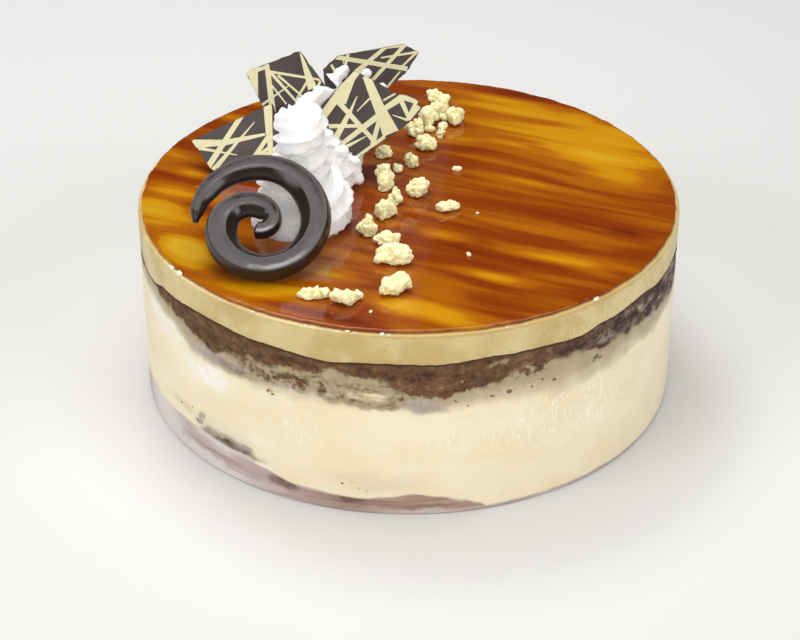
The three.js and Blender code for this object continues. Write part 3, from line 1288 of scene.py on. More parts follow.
        shape = turned_rows(self.steps, ("rim", "fleck"), lay)
        material = finish.material()
        return set_out("caramel_cream_side", shape, Slot.CARAMEL_CREAM, [material], ["caramel_cream"])

    def glaze(self, finish: GlazeFinish) -> bpy.types.Object:
        """Build the glaze: a thin rippled disc whose rim is rounded and a little uneven.

        Args:
            finish: The glaze's finish.

        Returns:
            The piece.
        """
        rings = 84
        steps = 628
        depth = self.glaze_top - self.caramel_top

        def ripple(place: Vector) -> float:
            """Give the low ripples that run along the streaks."""
            along = finish.along(place)
            return 0.07 * noise.noise(Vector((along.x / 40, along.y / 7, 1.7)))

        def lay(degrees: float) -> list[Spot]:
            """Lay the rows at one angle.

            Args:
                degrees: Angle from +X.

            Returns:
                The rows, from the axis out and back to it.
            """
            edge = side_point(degrees, self.radius, 0)
            reach = self.radius - self.glaze_inset - 0.35
            reach += 0.5 * wander(edge, 9, 21.0) + 0.25 * wander(edge, 2.2, 22.0)
            rim_tone = finish.tone(side_point(degrees, reach, 0))
            spots: list[Spot] = [(0, self.caramel_top, 0), (reach - 0.6, self.caramel_top, rim_tone)]
            for turn_up in (-60, -30, 0, 30, 60, 90):
                bend = math.radians(turn_up)
                spots.append(
                    (
                        reach - 0.5 * depth * (1 - math.cos(bend)),
                        self.caramel_top + 0.5 * depth * (1 + math.sin(bend)),
                        rim_tone,
                    )
                )
            inner = reach - 0.5 * depth
            for ring in range(1, rings):
                radius = inner * (1 - ring / rings)
                place = side_point(degrees, radius, 0)
                height = self.glaze_top + ripple(place) * smoothstep(inner - radius, 0, 4)
                spots.append((radius, height, finish.tone(place)))
            spots.append((0, self.glaze_top, finish.tone(Vector())))
            return spots

        shape = turned_rows(steps, ("tone",), lay)
        return set_out("caramel_glaze_top", shape, Slot.GLAZE, [finish.material()], ["caramel_glaze"])


@dataclass(frozen=True)
class Swirl:
    """One piped swirl of cream: where it stands, its size, and how its tip and its foot lean."""

    x: float
    y: float
    radius: float
    height: float
    lean: tuple[float, float]
    neck: float
    foot: tuple[float, float] = (0, 0)
    top: float = 0.96

    def envelope(self, rise: float) -> float:
        """Give the swirl's outer radius at a part of its height."""
        narrow = 1 + (self.neck - 1) * smoothstep(rise, 0.14, 0.52)
        return self.radius * narrow * math.sqrt(max(0.0, 1 - rise**8))

    def centre(self, rise: float) -> Vector:
        """Give the axis at a part of the height.

        Args:
            rise: Part of the height, from 0 at the foot to 1.

        Returns:
            The point in millimetres, with its height above the foot.
        """
        low = 1 - smoothstep(rise, 0.05, 0.45)
        flat = Vector((self.x, self.y)) + Vector(self.lean) * rise**2 + Vector(self.foot) * low
        return Vector((*flat, rise * self.height))


@dataclass(frozen=True)
class DiscPress:
    """A round thing that presses the cream back: its middle, face, depth, radius and reach."""

    at: Vector
    face: Vector
    depth: float
    radius: float
    reach: float = 60.0

    def outside(self, place: Vector) -> float:
        """Give how far a point lies outside the outline, below 0 inside it."""
        away = place - self.at
        return (away - self.face * away.dot(self.face)).length - self.radius


@dataclass(frozen=True)
class PlatePress:
    """A flat plate that presses the cream back: a point, its face, depth, walls and reach."""

    at: Vector
    face: Vector
    depth: float
    walls: Sequence[tuple[Vector, Vector]]
    reach: float = 12.0

    def outside(self, place: Vector) -> float:
        """Give how far a point lies outside the outline, below 0 inside it."""
        return max((place - spot).dot(normal) for spot, normal in self.walls)


@dataclass
class PipedCream:
    """Two swirls piped from a star nozzle, pressed flat behind the chocolate."""

    swirls: Sequence[Swirl]
    foot: float
    presses: Sequence[DiscPress | PlatePress]
    margin: float = 1.0
    turns: float = 3.0
    points: int = 12
    cut: float = 0.34
    voxel: float = 0.5
    tufts: Sequence[tuple[float, float, float, float]] = (
        (-15.8, 26.3, 109.8, 2.2), (-9.8, 25.3, 104.9, 1.7), (-20.4, 4, 81.4, 3.0),
        (-18.9, 3, 78.4, 2.4), (-20, 3.6, 85.2, 2.0), (-24.4, 0.5, 90.6, 2.6),
        (-25.2, 23.2, 111.4, 2.6), (-23.6, 23.8, 112.6, 2.0), (-30.4, 22.4, 110.2, 1.5),
        (-28.2, 22.6, 110.0, 2.0), (-26.4, 21.6, 107.8, 2.2), (-26, 19.6, 104.6, 2.8),
        (-38.6, 9, 105.6, 3.0), (-35.8, 12, 106.2, 3.2), (-32.8, 15.4, 106.4, 3.2),
        (-46, -18, 113.2, 2.0), (-44.4, -17, 115, 1.8), (-46.4, -18, 110.4, 1.9),
    )

    def rope(self, swirl: Swirl) -> bmesh.types.BMesh:
        """Wind a star-shaped rope up one swirl.

        Args:
            swirl: The swirl to pipe.

        Returns:
            The rope in millimetres.
        """
        shape = tube(sides=84, steps=260)
        pitch = swirl.height / self.turns
        for vertex in shape.verts:
            part = vertex.co.z
            around = math.atan2(vertex.co.y, vertex.co.x)
            reach = math.hypot(vertex.co.x, vertex.co.y)
            rise = 0.1 + (swirl.top - 0.1) * part
            taper = smoothstep(part, -0.02, 0.05) * (1 - 0.8 * smoothstep(part, 0.88, 1.04))
            thick = 0.62 * pitch * taper * (1.12 - 0.34 * part)
            torn = 1 + 0.9 * noise.noise(Vector((26 * part, 3 * math.cos(around), 3 * math.sin(around))))
            star = 1 + self.cut * torn * (0.62 - abs(math.cos(0.5 * self.points * around + 5 * part)))
            turn = math.tau * (self.turns * rise - 0.5)
            close = 1 - 0.75 * smoothstep(part, 0.88, 1.0)
            middle = max(0.3, swirl.envelope(rise) - 1.12 * thick) * close
            outward = Vector((math.cos(turn), math.sin(turn), 0))
            spot = swirl.centre(rise) + outward * middle
            spot += outward * (math.cos(around) * thick * star * reach)
            spot.z += math.sin(around) * thick * star * reach
            vertex.co = spot
        return shape

    def core(self, swirl: Swirl) -> bmesh.types.BMesh:
        """Fill the middle of one swirl.

        Args:
            swirl: The swirl to fill.

        Returns:
            The core in millimetres.
        """
        shape = tube(sides=32, steps=16)
        for vertex in shape.verts:
            rise = (swirl.top - 0.06) * vertex.co.z
            reach = max(1.0, 0.72 * swirl.envelope(rise))
            flat = Vector((vertex.co.x, vertex.co.y, 0)) * reach
            vertex.co = swirl.centre(rise) + flat
        return shape

    def pressed(self, place: Vector) -> Vector:
        """Push a point back behind what presses on the cream.

        Args:
            place: Point in millimetres.

        Returns:
            The point, moved where something presses.
        """
        for press in self.presses:
            lift = (place - press.at).dot(press.face) + press.depth
            if 0 < lift < press.reach:
                share = 1 - smoothstep(press.outside(place), 0, self.margin)
                place = place - press.face * (lift * share)
        return place

    def build(self, finish: SoftFinish) -> bpy.types.Object:
        """Join the ropes, cores and tufts into one soft body and roughen its ridges.

        Args:
            finish: The cream's finish.

        Returns:
            The piece.
        """
        tufts = bmesh.new()
        for x, y, z, size in self.tufts:
            place = Matrix.Translation((x, y, z - self.foot))
            bmesh.ops.create_icosphere(tufts, subdivisions=3, radius=size, matrix=place)
        parts = [tufts]
        for swirl in self.swirls:
            parts += [self.rope(swirl), self.core(swirl)]
        joined = bmesh.new()
        for part in parts:
            for vertex in part.verts:
                vertex.co = self.pressed(vertex.co + Vector((0, 0, self.foot)))
            mesh = bpy.data.meshes.new("swirl_part")
            part.to_mesh(mesh)
            part.free()
            joined.from_mesh(mesh)
            bpy.data.meshes.remove(mesh)
        shape = refined(joined, "swirl_join", "REMESH", mode="VOXEL", voxel_size=self.voxel)
        shape.normal_update()
        for vertex in shape.verts:
            ragged = 0.5 * wander(vertex.co, 3.4, 5.5) + 0.3 * wander(vertex.co, 1.3, 6.5)
            vertex.co += vertex.normal * ragged
        bmesh.ops.smooth_vert(
            shape, verts=shape.verts, factor=0.4, use_axis_x=True, use_axis_y=True, use_axis_z=True
        )
        for vertex in shape.verts:
            vertex.co.z = max(vertex.co.z, self.foot - 0.3)
            vertex.co *= MM
        return set_out("piped_cream", shape, Slot.WHIPPED, [finish.material()], ["whipped_cream"])


@dataclass(frozen=True)
class Streak:
    """One straight streak in a plaque's plane, in millimetres, with its width at both ends."""

    start: tuple[float, float]
    end: tuple[float, float]
    widths: tuple[float, float]

    def sides(self) -> list[tuple[Vector, Vector]]:
        """Give the lines that bound the streak.

        Returns:
            A point on each side and that side's normal in the plane.
        """
        start, end = Vector(self.start), Vector(self.end)
        along = (end - start).normalized()
        across = Vector((-along.y, along.x))
        lines = []
        for sign in (-0.5, 0.5):
            first = start + across * (sign * self.widths[0])
            last = end + across * (sign * self.widths[1])
            run = (last - first).normalized()
            lines.append((first, Vector((-run.y, run.x))))
        lines.append((start, along))
        lines.append((end, along))
        return lines

    def covers(self, spot: Vector) -> bool:
        """Tell whether a point in the plane lies on the streak.

        Args:
            spot: The point in millimetres.

        Returns:
            Whether the streak covers it.
        """
        start, end = Vector(self.start), Vector(self.end)
        run = end - start
        part = (spot - start).dot(run) / run.length_squared
        if not 0 <= part <= 1:
            return False
        off = abs(run.x * (spot.y - start.y) - run.y * (spot.x - start.x)) / run.length
        return off < 0.5 * (self.widths[0] + (self.widths[1] - self.widths[0]) * part)


@dataclass(frozen=True)
class Plaque:
    """A broken plate of dark chocolate, streaked on its front face."""

    node: str
    at: tuple[float, float, float]
    yaw: float
    lean: float
    streaks: Sequence[Streak]
    clear: Sequence[tuple[float, float]] = ()

    def plane(self) -> Matrix:
        """Give the turn and place of the plate's own plane."""
        turn = Euler((math.pi / 2 - math.radians(self.lean), 0, math.radians(self.yaw)), "XYZ")
        return Matrix.Translation(Vector(self.at) * MM) @ turn.to_matrix().to_4x4()

    def press(self, depth: float) -> PlatePress:
        """Describe the outline in front of the plate that the cream was pushed out of.

        Args:
            depth: How far behind the front face the cream stays, in millimetres.

        Returns:
            The press.
        """
        turn = self.plane().to_3x3()
        walls = []
        for start, end in zip(self.clear, [*self.clear[1:], self.clear[0]]):
            run = Vector(end) - Vector(start)
            spot = Vector(self.at) + turn @ Vector((*start, 0))
            walls.append((spot, turn @ Vector((run.y, -run.x, 0)).normalized()))
        return PlatePress(Vector(self.at), turn @ Vector((0, 0, 1)), depth, walls)

    @staticmethod
    def rims(shape: bmesh.types.BMesh) -> list[bmesh.types.BMEdge]:
        """Find the edges round the front and the back, which lie level in the plate's own plane."""
        return [edge for edge in shape.edges if abs(edge.verts[0].co.z - edge.verts[1].co.z) < MM]

    @staticmethod
    def on_front(face: bmesh.types.BMFace) -> bool:
        """Tell whether a face lies on the front, in the plate's own plane."""
        return face.normal.z > 0.99 and face.calc_center_median().z > -0.2 * MM

    def build(self, body: bpy.types.Material, streak: bpy.types.Material) -> bpy.types.Object:
        """Break the plate's edges, then cut the streaks into its front.

        Args:
            body: The dark chocolate.
            streak: The pale streaks.

        Returns:
            The plaque.
        """
        plane = self.plane()
        shape = merged_copy(self.node)
        bmesh.ops.transform(shape, matrix=plane.inverted(), verts=shape.verts)
        bmesh.ops.dissolve_limit(shape, angle_limit=0.02, verts=shape.verts, edges=shape.edges)
        bmesh.ops.subdivide_edges(shape, edges=self.rims(shape), cuts=9)
        for vertex in shape.verts:
            flat = Vector((vertex.co.x, vertex.co.y, 0)) / MM
            vertex.co.x += 0.3 * MM * wander(flat, 2.2, 31.0)
            vertex.co.y += 0.3 * MM * wander(flat, 2.2, 41.0)
        rims = self.rims(shape)
        bmesh.ops.bevel(
            shape, geom=rims, offset=0.12 * MM, affect="EDGES", segments=2, profile=0.5, material=-1
        )
        for line in self.streaks:
            for point, normal in line.sides():
                front = [face for face in shape.faces if self.on_front(face)]
                edges = {edge for face in front for edge in face.edges}
                corners = {corner for face in front for corner in face.verts}
                bmesh.ops.bisect_plane(
                    shape,
                    geom=[*front, *edges, *corners],
                    dist=1e-7,
                    plane_co=Vector((point.x, point.y, 0)) * MM,
                    plane_no=Vector((normal.x, normal.y, 0)),
                )
        for face in shape.faces:
            middle = face.calc_center_median().xy / MM
            covered = any(line.covers(middle) for line in self.streaks)
            face.material_index = int(self.on_front(face) and covered)
        bmesh.ops.transform(shape, matrix=plane, verts=shape.verts)
        piece = set_out(f"{self.node}_plate", shape, Slot.CHOCOLATE, [body, streak], [self.node])
        for polygon in piece.data.polygons:
            polygon.use_smooth = False
        return piece


@dataclass
class Spiral:
    """A tapering bar of chocolate with a dished face, coiled in a plane that leans on the cream."""

    at: Vector
    lean: float
    start: float = 183.0
    sweep: float = 646.0
    outer: float = 20.1
    inner: float = 5.0
    coil: tuple[float, float] = (226.0, 479.0)
    drift: Levels = ((0, 1.5), (45, 1.1), (100, 1.1), (170, 0), (560, 0), (646, -0.9))
    flatness: float = 0.78
    half_widths: Levels = (
        (0, 2), (20, 3), (40, 3.8), (90, 4.6), (160, 5.7), (250, 5.3), (340, 6), (400, 4.7), (460, 4.5),
        (540, 3.5),
    )
    section: Sequence[tuple[float, float]] = (
        (-0.14, 0.76), (0.28, 0.84), (0.36, 0.8), (0.8, 0.25), (1, -0.2), (0.75, -0.85), (0, -1),
        (-0.75, -0.85), (-1, -0.2), (-0.93, 0.35), (-0.78, 0.88), (-0.7, 0.96),
    )

    def face(self) -> Vector:
        """Give the direction that the coil faces."""
        return Matrix.Rotation(math.radians(90 - self.lean), 3, "X") @ Vector((0, 0, 1))

    def centre(self, sweep: float) -> Vector:
        """Give the bar's centre line in the coil's plane.

        Args:
            sweep: Angle along the coil from its outer end, in degrees.

        Returns:
            The point in millimetres.
        """
        tighten = smoothstep(sweep, *self.coil)
        radius = self.outer + (self.inner - self.outer) * tighten + eased(self.drift, sweep)
        angle = math.radians(self.start - sweep)
        return Vector((radius * math.cos(angle), radius * math.sin(angle), 0))

    def outline(self, around: float) -> Vector:
        """Give a point of the section, with its corners rounded off.

        Args:
            around: Angle from the middle of the face towards the inner side, in radians.

        Returns:
            How far inward and how high the point lies, in half widths and half heights.
        """
        count = len(self.section)
        spot = around * count / math.tau + 0.5
        corner = math.floor(spot)
        part = spot - corner
        near = [Vector(self.section[(corner + step) % count]) for step in (-1, 0, 1)]
        shares = 0.5 * (1 - part) ** 2, 0.5 + part * (1 - part), 0.5 * part**2
        return near[0] * shares[0] + near[1] * shares[1] + near[2] * shares[2]

    def build(self, finish: bpy.types.Material) -> bpy.types.Object:
        """Sweep the dished section along the coil.

        Args:
            finish: The chocolate.

        Returns:
            The coil.
        """
        shape = tube(sides=72, steps=420)
        turn = Matrix.Translation(self.at * MM) @ Matrix.Rotation(math.radians(90 - self.lean), 4, "X")
        for vertex in shape.verts:
            part = vertex.co.z
            sweep = part * self.sweep
            run = self.centre(sweep + 0.5) - self.centre(sweep - 0.5)
            across = Vector((run.y, -run.x, 0)).normalized()
            ends = math.sqrt(min(1.0, 0.25 + 45 * min(part, 1 - part)))
            half = eased(self.half_widths, sweep) * ends
            inward, high = self.outline(math.atan2(vertex.co.x, vertex.co.y))
            spot = self.centre(sweep) + across * (inward * half)
            spot.z = high * half * self.flatness
            spot += Vector((0, 0, 0.1 * wander(spot, 6, 51.0)))
            vertex.co = spot * MM
        bmesh.ops.recalc_face_normals(shape, faces=shape.faces)
        bmesh.ops.transform(shape, matrix=turn, verts=shape.verts)
        return set_out("chocolate_coil", shape, Slot.CHOCOLATE, [finish], ["chocolate_spiral"])


@dataclass
class Crumble:
    """The pieces of baked crumble and the fine crumbs that fell from them."""

    count: int = 21
    foot: float = GLAZE_TOP
    knob: float = 0.9
    lump_size: float = 4.4
    knob_size: float = 2.1
    grit_size: float = 0.95
    fine: Sequence[tuple[float, float, float]] = (
        (18.3, 17, 1.5), (21, -48.3, 0.9), (-2, -63, 0.6), (25, -17.5, 0.5), (14.2, 61, 1.9),
        (13.8, 53, 1.9), (8.4, 50.6, 1.7), (4.4, 53.2, 2), (17, 66.4, 1.6), (7.2, 64.4, 1.8),
        (10.4, 71.4, 1.6), (-13, -87, 0.6),
    )

    @staticmethod
    def heap(place: Vector, size: float) -> float:
        """Give the height of round knobs of one size, from 0 between them to 1."""
        distances, _ = noise.voronoi(place / size)
        return math.sqrt(max(0.0, 1 - (distances[0] / 0.85) ** 2))

    def roughen(self, shape: bmesh.types.BMesh, seed: float, share: float = 1.0) -> None:
        """Raise knobs and grain on a lump, and mark its hollows.

        Args:
            shape: The lump in metres.
            seed: Shift that makes each lump different.
            share: Height of the knobs beside those of a large lump.
        """
        hollow = shape.verts.layers.float.new("hollow")
        shape.normal_update()
        for vertex in shape.verts:
            place = vertex.co / MM
            bent = place + Vector((seed + 0.5 * wander(place, 2, seed), 0, 0))
            lump = self.heap(bent, self.lump_size)
            knob = self.heap(bent, self.knob_size)
            small = self.heap(bent, self.grit_size)
            grain = wander(place, 1.2, seed, 4)
            # How deep in a hollow the vertex lies, for the painted shade there.
            vertex[hollow] = min(1.0, max(0.0, 1.5 - 0.7 * lump - 0.8 * knob - 0.3 * small - 0.4 * grain))
            free = smoothstep(place.z - self.foot, 0.0, 0.8)
            lift = 2 * self.knob * (lump - 0.7) + self.knob * (knob - 0.7) + 0.25 * (small - 0.6)
            lift += 1.5 * wander(bent, 3.6, seed + 4) + 0.2 * grain
            vertex.co += vertex.normal * (MM * share * free * lift)

    def build(self, finish: bpy.types.Material) -> list[bpy.types.Object]:
        """Build every lump over its solid, then the fine crumbs as one piece.

        Args:
            finish: The crumble's material.

        Returns:
            The pieces.
        """
        pieces = []
        for number in range(1, self.count + 1):
            node = f"crumble_{number:02d}"
            shape = refined(merged_copy(node), node + "_soft", "SUBSURF", levels=3, render_levels=3)
            self.roughen(shape, seed=3.7 * number)
            low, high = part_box(node)
            fill_box(shape, low, high)
            pieces.append(set_out(f"{node}_lump", shape, Slot.CRUMBLE, [finish], [node]))
        shape = bmesh.new()
        for number, (x, y, size) in enumerate(self.fine):
            place = Matrix.Translation(Vector((x, y, self.foot + 0.5 * size)) * MM)
            place = place @ Matrix.Rotation(2.1 * number, 4, "Z") @ Matrix.Diagonal((1.25, 0.85, 0.8, 1))
            bmesh.ops.create_icosphere(shape, subdivisions=4, radius=size * MM, matrix=place)
        self.roughen(shape, seed=91.0, share=0.35)
        pieces.append(set_out("fine_crumbs", shape, Slot.CRUMBLE, [finish]))
        return pieces


@dataclass
class StrayCrumbs:
    """Specks of sponge caught in the pale cream, and pale nibs on the rim: a few are cream left there,
    those along the front stand in for painted glints.
    """

    radius: float
    rim: float
    specks: Sequence[tuple[float, float, float]] = (
        (-103.5, 11.6, 0.55), (-101.5, 12.4, 0.4), (-100, 10.2, 0.5), (-98.4, 9.3, 0.65),
        (-104.6, 9.6, 0.35), (-86, 19.5, 0.45), (-73.6, 47, 0.7), (-70.2, 47.5, 1.0),
        (-67.6, 46.4, 0.45), (-65.4, 47.2, 0.6), (-63, 49, 0.5), (-60.3, 47.5, 0.75), (-78.6, 44, 0.6),
        (-80.8, 46.6, 0.7), (-49.8, 50, 1.2), (-48.6, 49.2, 0.8), (-50.4, 48.8, 0.6),
        (-119.2, 43.4, 0.8), (-117.9, 42.4, 0.9), (-145, 18.6, 0.6), (-141, 20.4, 0.5), (20, 40, 0.8),
        (44, 46, 0.6), (98, 38, 0.7), (131, 20, 0.6), (150, 36, 0.5),
    )
    # On the far left and at -50 degrees these are cream; from -122 to -67 degrees they stand in for
    # painted glints of the wet edge.
    nibs: Sequence[tuple[float, float]] = (
        (-146.5, 1.1), (-143.6, 1.4), (-50.2, 1.0), (-122, 0.5), (-112, 0.45), (-110.4, 0.6),
        (-105.6, 0.4), (-102, 0.7), (-100.4, 0.5), (-95.4, 0.8), (-94, 0.5), (-71, 0.4), (-67, 0.35),
        (35, 0.9), (110, 1.0),
    )

    def build(self, sponge: bpy.types.Material, cream: bpy.types.Material) -> None:
        """Press the specks into the side and set the nibs on the rim.

        Args:
            sponge: The finish of the specks.
            cream: The finish of the nibs.
        """
        spots = []
        for degrees, height, size in self.specks:
            spots.append((degrees, side_point(degrees, self.radius - 0.1, height), size))
        shape = scatter(spots, squash=(0.25, 1, 0.9), rough=0.3, grain=0.8, seeds=(61.0, 62.0, 63.0))
        set_out("stray_sponge_specks", shape, Slot.SPONGE, [sponge])
        spots = []
        # Pale beads on the rim; along the front they stand in for painted glints.
        for degrees, size in self.nibs:
            spot = side_point(degrees, self.radius - 0.5 * size - 0.2, self.rim + 0.1 * size)
            spots.append((degrees, spot, size))
        shape = scatter(spots, squash=(0.7, 1.3, 0.8), rough=0.35, grain=1.0, seeds=(71.0, 81.0, 91.0))
        set_out("rim_cream_nibs_and_glints", shape, Slot.CARAMEL_CREAM, [cream])


@dataclass
class Studio:
    """Pale floor, soft lights and the camera at the photograph's angle."""

    eye: Vector = field(default_factory=lambda: Vector((-3.2, -689.1, 437.5)) * MM)
    target: Vector = field(default_factory=lambda: Vector((-3.2, 0, 18.55)) * MM)
    lens: float = 94.3
    sensor: float = 36.0
    floor_reach: float = 4.0
    floor_level: float = -0.0002
    lit_height: float = 0.06
    air: Colour = (0.9, 0.95, 1.0, 1.0)
    air_strength: float = 0.05

    def floor(self) -> None:
        """Lay the pale floor just under the cake."""
        shape = bmesh.new()
        bmesh.ops.create_grid(shape, x_segments=1, y_segments=1, size=self.floor_reach)
        bmesh.ops.translate(shape, verts=shape.verts, vec=(0, 0, self.floor_level))
        mesh = bpy.data.meshes.new("studio_floor")
        shape.to_mesh(mesh)
        shape.free()
        recipe = Recipe("pale_floor")
        cloud = recipe.noise(recipe.grain((900, 900, 900)), 2)
        tone = recipe.mix(cloud, shade(212, 211, 209), shade(218, 217, 215))
        recipe.set(Base_Color=tone, Roughness=0.8)
        mesh.materials.append(recipe.material)
        piece = bpy.data.objects.new("studio_floor", mesh)
        bpy.context.scene.collection.objects.link(piece)

    def light(
        self,
        name: str,
        at: tuple[float, float, float],
        size: tuple[float, float],
        watts: float,
        roll: float = 0.0,
    ) -> None:
        """Hang one soft box that faces the cake.

        Args:
            name: The light's name.
            at: Its place in metres.
            size: Its width and height in metres.
            watts: Its power.
            roll: Its turn about the line to the cake, in degrees.
        """
        lamp = bpy.data.lights.new(name, "AREA")
        lamp.shape = "RECTANGLE"
        lamp.size, lamp.size_y = size
        lamp.energy = watts
        holder = bpy.data.objects.new(name, lamp)
        holder.location = at
        aim = Vector((0, 0, self.lit_height)) - Vector(at)
        facing = aim.to_track_quat("-Z", "Y").to_matrix() @ Matrix.Rotation(math.radians(roll), 3, "Z")
        holder.rotation_euler = facing.to_euler()
        holder.visible_camera = False
        bpy.context.scene.collection.objects.link(holder)

    def build(self) -> None:
        """Set the floor, the lights, the world and the camera."""
        self.floor()
        self.light("top_box", (-0.06, 0.08, 1.4), (1.3, 1.3), watts=15)
        self.light("sheen_box", (-0.3, 0.6, 1.2), (0.5, 0.4), watts=5.2)
        self.light("left_box", (-1.35, -0.95, 0.85), (1.1, 1.0), watts=14.7)
        self.light("right_box", (1.35, -0.95, 0.85), (1.1, 1.0), watts=14.2)
        self.light("front_box", (0, -1.7, 1.05), (0.5, 0.4), watts=6.8)
        self.light("back_box", (-0.06, 1.5, 0.9), (0.2, 0.3), watts=0.026, roll=-12)
        world = bpy.data.worlds.new("studio_air")
        world.use_nodes = True
        air = world.node_tree.nodes["Background"]
        air.inputs["Color"].default_value = self.air
        air.inputs["Strength"].default_value = self.air_strength
        bpy.context.scene.world = world
        lens = bpy.data.cameras.new("camera")
        lens.lens = self.lens
        lens.sensor_width = self.sensor
        lens.sensor_fit = "HORIZONTAL"
        camera = bpy.data.objects.new("camera", lens)
        camera.location = self.eye
        camera.rotation_euler = (self.target - self.eye).to_track_quat("-Z", "Y").to_euler()
        bpy.context.scene.collection.objects.link(camera)
        bpy.context.scene.camera = camera
        bpy.context.scene.view_settings.view_transform = "Standard"


SIDE = SideFinish(
    cream=shade(243, 231, 200),
    deep=shade(238, 224, 187),
    # Light vertical streaks of painted highlight on the pale cream.
    fleck=shade(253, 247, 226),
    white=shade(249, 245, 238),
    fog=shade(174, 158, 124),
    grey=shade(178, 163, 149),
    brown=Crumb(shade(66, 42, 24), shade(97, 67, 40), shade(124, 95, 62)),
    red=Crumb(shade(68, 40, 24), shade(108, 74, 48), shade(146, 112, 80)),
    # Mauve crumb: its lightest tone is partly painted sheen.
    mauve=Crumb(shade(56, 39, 32), shade(94, 74, 62), shade(142, 126, 114)),
    shadow=shade(70, 42, 29),
    # Base band: sponge tones washed pale by a painted reflection, less washed where the red mark lies,
    # palest where the grey mark lies.
    base=Crumb(shade(156, 131, 128), shade(186, 165, 161), shade(212, 199, 195)),
    less_reflected=Crumb(shade(138, 110, 97), shade(164, 135, 120), shade(182, 157, 144)),
    base_reflection=shade(218, 208, 204),
    stain=shade(104, 80, 74),
)
CARAMEL_CREAM = CaramelCreamFinish(
    name="caramel_cream",
    body=shade(210, 189, 131),
    deep=shade(194, 167, 102),
    light=shade(221, 203, 149),
    pore=shade(160, 134, 80),
    # Darker rim tone: painted shade on the rounded edge.
    rim=shade(194, 162, 96),
)
SPONGE_HIGH = Edge(
    (
        (-156, 59.6), (-150, 62), (-135, 63.3), (-118, 62), (-107, 60.7), (-97, 61.8), (-84, 61.7),
        (-75, 62.6), (-64, 62.4), (-54, 61.5), (-48, 63), (-35, 64.1), (-28, 62.6), (-10, 62.8),
        (40, 61.2), (85, 63), (135, 61), (175, 63),
    ),
    ragged=0.3,
    grain=8.0,
    seed=27.3,
)
